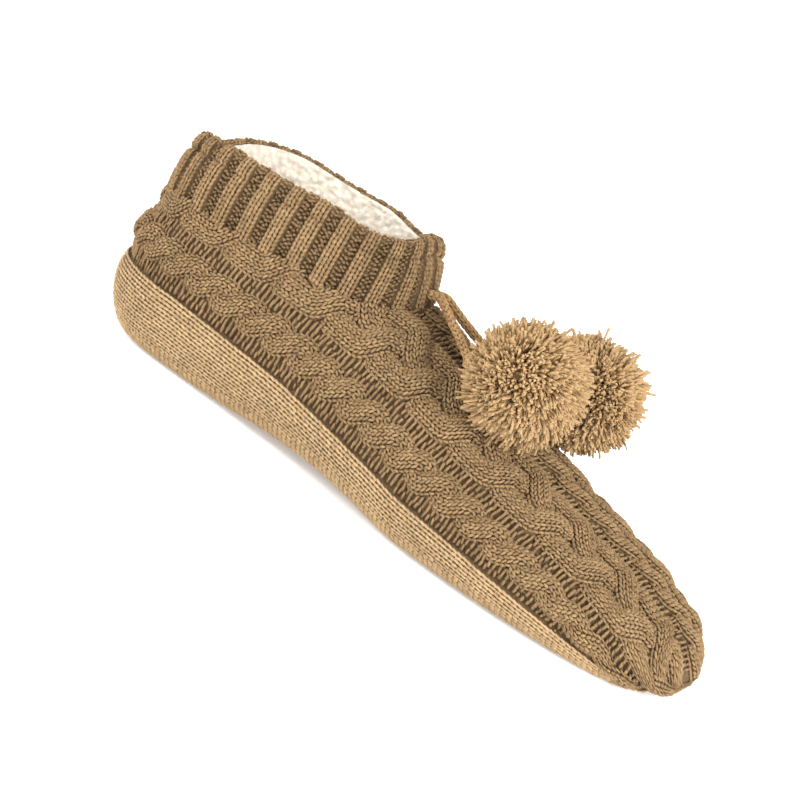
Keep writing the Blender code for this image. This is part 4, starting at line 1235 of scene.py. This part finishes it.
for hand, side in ((1.0, "near"), (-1.0, "far")):
    for name, strands, lines, spacing in (("plait_", PLAIT, PLAIT_LINES, WALE_LINE),
                                          ("rope_", ROPE, ROPE_LINES, ROPE_LINE)):
        knit = Stitches(SKIN.on_upper)
        knit_strands(knit, strands, lines, spacing, hand, SKIN.start + 0.0006, SKIN.end - 0.0002,
                     (-0.0009, 0.0002))
        dress(knit.piece(name + side, "cable_knit", STITCH), KNIT_YARN, "upper")

    purl = Stitches(SKIN.on_upper)
    columns = [(ROPE_LOW - 0.0012, ROPE_LOW + 0.0036), (ROPE_LOW + 0.0017, KNIT_HALF + 0.0004),
               (PLAIT_LOW - 0.0012, PLAIT_LOW + 0.0033), (PLAIT_LOW + 0.0016, ROPE_TOP + 0.0010)]
    columns += purl_columns(PLAIT_TOP, PLAIT_LOW, 0.0019) + purl_columns(ROPE_TOP, ROPE_LOW, 0.0019)
    knit_purl(purl, CABLES, columns, hand, SKIN.start + 0.0008, SKIN.end)
    columns = [(CENTRE_ROPE - 0.0012, CENTRE_ROPE + 0.0034), (CENTRE_ROPE + 0.0018, PLAIT_TOP + 0.0006)]
    knit_purl(purl, PLAIT + MIDDLE_CABLE, columns, hand, SKIN.start + 0.0008, SKIN.throat)
    # The purl sits sunk between the cables, so its shade range is cut short: painted shade.
    dress(purl.piece("purl_" + side, "cable_knit", SMALL_STITCH, (0.0, 0.7)), KNIT_YARN, "upper")

    ribs, valleys = Stitches(on_cuff), Stitches(on_cuff)
    knit_cuff(ribs, valleys, -hand)
    dress(ribs.piece("cuff_ribs_" + side, "rib_knit", STITCH), KNIT_YARN, "cuff")
    # The valleys sit sunk between the ribs, so their shade range is cut short: painted shade.
    dress(valleys.piece("cuff_valleys_" + side, "rib_knit", SMALL_STITCH, (0.0, 0.6)), KNIT_YARN, "cuff")

knit = Stitches(SKIN.on_upper)
knit_strands(knit, MIDDLE_CABLE, ROPE_LINES, ROPE_LINE, 1.0, SKIN.start + 0.0008, SKIN.throat - 0.001,
             (-1.0, 0.0004))
dress(knit.piece("rope_middle", "cable_knit", STITCH), KNIT_YARN, "upper")


def knit_sole_line(stitches, alongs, across, tail_across, tilt, seen):
    """One line of plain knit on the sole, its legs from across to tail_across one row on."""
    height = np.full(len(alongs), SOLE_LEG_LEVEL)
    head = np.stack([alongs, across + tilt, height], 1)
    tail = np.stack([alongs + SOLE_ROW * SOLE_LEG_REACH, tail_across - tilt, height - LEG_SINK], 1)
    stitches.add(head[seen], tail[seen], SOLE_LINE * 0.46, SOLE_LEG_THICK)


def knit_sole_side(stitches, hand):
    """Plain knit from the seam down to the flat of the sole."""
    alongs = np.arange(SKIN.start + 0.006, SKIN.end, SOLE_ROW)
    for line in range(SOLE_SIDE_LINES):
        below = (line + 0.45) * SOLE_LINE
        tilt = SOLE_TILT * (1.0 if line % 2 else -1.0)
        arc = SKIN.line(SKIN.seam_arc, alongs) - below
        tail_arc = SKIN.line(SKIN.seam_arc, alongs + SOLE_ROW * SOLE_LEG_REACH) - below
        seen = arc > SKIN.line(SKIN.floor_arc, alongs) - SOLE_LINE
        knit_sole_line(stitches, alongs, arc * hand, tail_arc * hand, tilt * hand, seen)


for hand, side in ((-1.0, "near"), (1.0, "far")):
    sole = Stitches(SKIN.on_sole)
    knit_sole_side(sole, hand)
    dress(sole.piece("sole_side_" + side, "sole_knit", SMALL_STITCH), SOLE_YARN, "sole")


def flat_values(along):
    """The sections' columns at distances from the heel."""
    return column_values(np.sqrt(np.clip((LENGTH - along) / SPAN, 0.0, 1.0)))


def flat_cloth(along, across, height):
    """Cloth of the flat underside: along from the heel, across to the near side, height down."""
    values = flat_values(along)
    floor_z = values["spring"] * TOE_SPRING + values["arch"] * ARCH_RISE
    return np.stack([along - HALF_LENGTH, -across, floor_z - height], 1)


def knit_underside():
    """Plain knit on the flat of the sole, in straight lines from heel to toe."""
    stitches = Stitches(flat_cloth)
    xs = np.arange(0.006, LENGTH - 0.010, SOLE_ROW)
    values = flat_values(xs)
    half = values["floor"] * (values["ball"] * BALL_WIDTH + values["heel"] * HEEL_WIDTH) / 2.0
    back = xs < HEEL_X
    oval = HEEL_WIDTH / 2.0 * np.sqrt(np.clip(1.0 - ((HEEL_X - xs) / HEEL_DEPTH / 0.6) ** 2, 0.0, 1.0))
    half = np.where(back, 0.6 * oval, half) + np.where(back & (oval < 0.004), -0.01, 0.0012)
    for line in range(UNDERSIDE_LINES):
        across = np.full(len(xs), (line - (UNDERSIDE_LINES - 1) / 2.0) * SOLE_LINE)
        tilt = SOLE_TILT * (1.0 if line % 2 else -1.0)
        knit_sole_line(stitches, xs, across, across, tilt, np.abs(across) < half)
    return stitches.piece("sole_underside", "sole_knit", SMALL_STITCH)


dress(knit_underside(), SOLE_YARN, "sole")


def backing(name, hand):
    """The ground of the upper, one side: between the cables and filling them from below."""
    def level(a, b):
        high = np.full(len(a), GUTTER_LEVEL)
        for strand in CABLES:
            high = np.maximum(high, strand.height_at(a, np.abs(b), 0.88) - STRAND_FILL)
        middle_high = [strand.height_at(a, b, 0.88) - STRAND_FILL for strand in MIDDLE_CABLE]
        high = np.where(a < SKIN.throat, np.maximum(high, np.maximum(*middle_high)), high)
        past_top = (a > SKIN.throat) & (np.abs(b) < SKIN.line(SKIN.top_across, a) + 0.0004)
        high = np.where(past_top, BEHIND_EDGE, high)
        tip = ease((a - SKIN.start) / 0.010)
        return TOE_LEVEL * (1.0 - tip) + high * tip

    return grid_piece(name, SKIN.on_upper, (SKIN.start + 0.0003, SKIN.end, 190),
                      (top_edge(hand), past_line(SKIN.seam_across, 0.0015, hand), 50), level)


# The upper's ground, in dark brown painted shade for the gaps between the stitches.
dress(thicken(both_halves("upper_ground", backing, 1.0), GROUND_THICK), KNIT_GROUND_PAINTED_SHADE, "upper")


def sole_sheet(name, hand):
    def level(a, b):
        short = SKIN.line(SKIN.seam_arc, a) - np.abs(b)
        return SOLE_LEVEL - SEAM_SINK * ease(1.0 - short / 0.0016)

    return grid_piece(name, SKIN.on_sole, (SKIN.start + 0.0003, SKIN.end, 110),
                      (constant(0.0), past_line(SKIN.seam_arc, 0.0012, hand), 32), level)


# The sole's ground, in dark brown painted shade for the gaps between its stitches and the line at the seam.
dress(thicken(both_halves("sole_ground", sole_sheet, -1.0), SOLE_GROUND_THICK), SOLE_GROUND_PAINTED_SHADE, "sole")


def upper_lining(name, hand):
    return grid_piece(name, SKIN.on_upper, (SKIN.start + 0.012, SKIN.end, 170),
                      (top_edge(hand), past_line(SKIN.seam_across, 0.004, hand), 44), UPPER_LINING)


def sole_lining(name, hand):
    return grid_piece(name, SKIN.on_sole, (SKIN.start + 0.014, SKIN.end, 140),
                      (lambda a: SKIN.line(SKIN.floor_arc, a) * 0.8 * hand,
                       past_line(SKIN.seam_arc, 0.001, hand), 20), SOLE_LINING)


def cuff_lining(name, hand):
    climb = CUFF_WIDTH - RIM_RADIUS + 0.86 * math.pi * RIM_RADIUS

    def level(a, b):
        return CUFF_LINING + CUFF_LINING_SWELL * ease((b - climb - 0.012) / 0.007)

    return grid_piece(name, on_cuff, half_round(hand, 150),
                      (constant(climb), constant(climb + CUFF_LINING_WIDTH), 42), level)


def cuff_ground(name, hand):
    """The ground of the cuff: low in the valleys, filling the ribs, and level with both at the rim."""
    def level(a, b):
        pitch = CUFF_HALF * 2.0 / CUFF_RIBS
        offset = np.abs(np.mod(np.abs(a), pitch) - pitch / 2.0)
        filled = ease((2.0 * RIB_LINE + 0.0003 - offset) / 0.0006) * ease((b + 0.0034) / 0.0014)
        valley = VALLEY_LEVEL + VALLEY_RISE * ease((b - (CUFF_WIDTH - 0.0040)) / 0.0034)
        return valley + (np.maximum(valley, RIB_LEVEL) - valley) * filled

    return grid_piece(name, on_cuff, half_round(hand, 210),
                      (constant(-0.0050), constant(CUFF_WIDTH + 0.0045), 29), level)


# The cuff's ground, in dark brown painted shade for the gaps between the ribs' stitches.
dress(thicken(both_halves("cuff_ground", cuff_ground, -1.0), GROUND_THICK), KNIT_GROUND_PAINTED_SHADE, "cuff")


def insole_sheet(name, hand):
    return grid_piece(name, SKIN.on_sole, (SKIN.start + 0.024, SKIN.end, 150),
                      (constant(0.0), past_line(SKIN.floor_arc, 0.006, hand), 30),
                      -(SOLE_WALL + GAP + INSOLE_THICK))


for name, half, hand, strength, node in (("lining_upper", upper_lining, 1.0, 0.0016, "upper"),
                                         ("lining_sole", sole_lining, -1.0, 0.0016, "sole"),
                                         ("lining_cuff", cuff_lining, -1.0, 0.0016, "cuff"),
                                         ("insole_fleece", insole_sheet, -1.0, 0.0012, "insole")):
    dress(ruffle(both_halves(name, half, hand), strength), FLEECE, node)

dress(fuzz_upper(), KNIT_YARN, "upper")
dress(fuzz_cuff(), KNIT_YARN, "cuff")
dress(fuzz_sole(), SOLE_YARN, "sole")

# Floor and light.

bpy.ops.object.select_all(action="DESELECT")
bpy.ops.mesh.primitive_circle_add(vertices=96, radius=2.2, fill_type="NGON", location=(0.0, 0.0, -0.0002))
floor = bpy.context.object
floor.name = "floor"
only(floor)
bpy.ops.object.mode_set(mode="EDIT")
for _ in range(10):
    bpy.ops.mesh.inset(thickness=0.09)
bpy.ops.object.mode_set(mode="OBJECT")
for corner in floor.data.vertices:
    corner.co.z += 1.6 * max(0.0, (corner.co.xy.length - 1.35) / 0.85) ** 2.5
floor.data.shade_smooth()
floor_material = bpy.data.materials.new("floor")
floor_material.use_nodes = True
floor_surface = floor_material.node_tree.nodes["Principled BSDF"]
floor_surface.inputs["Base Color"].default_value = (0.93, 0.93, 0.93, 1.0)
floor_surface.inputs["Roughness"].default_value = 0.9
floor_surface.inputs["Emission Color"].default_value = (1.0, 1.0, 1.0, 1.0)
floor_surface.inputs["Emission Strength"].default_value = 0.35
floor.data.materials.append(floor_material)


def soft_light(name, place, size, power):
    data = bpy.data.lights.new(name, "AREA")
    data.size = size
    data.energy = power
    lamp = bpy.data.objects.new(name, data)
    bpy.context.scene.collection.objects.link(lamp)
    lamp.location = place
    lamp.rotation_mode = "QUATERNION"
    lamp.rotation_quaternion = (VIEW_CENTRE - Vector(place)).to_track_quat("-Z", "Y")


soft_light("key", (-1.15, -0.75, 0.62), 0.45, 15.0)
soft_light("fill", (1.2, -0.65, 0.62), 0.6, 25.0)
soft_light("top", (-0.3, 0.3, 1.8), 1.6, 14.0)

world = bpy.data.worlds.new("studio")
world.use_nodes = True
world.node_tree.nodes["Background"].inputs["Color"].default_value = (1.0, 1.0, 1.0, 1.0)
world.node_tree.nodes["Background"].inputs["Strength"].default_value = 0.45
bpy.context.scene.world = world
bpy.context.scene.view_settings.view_transform = "Standard"
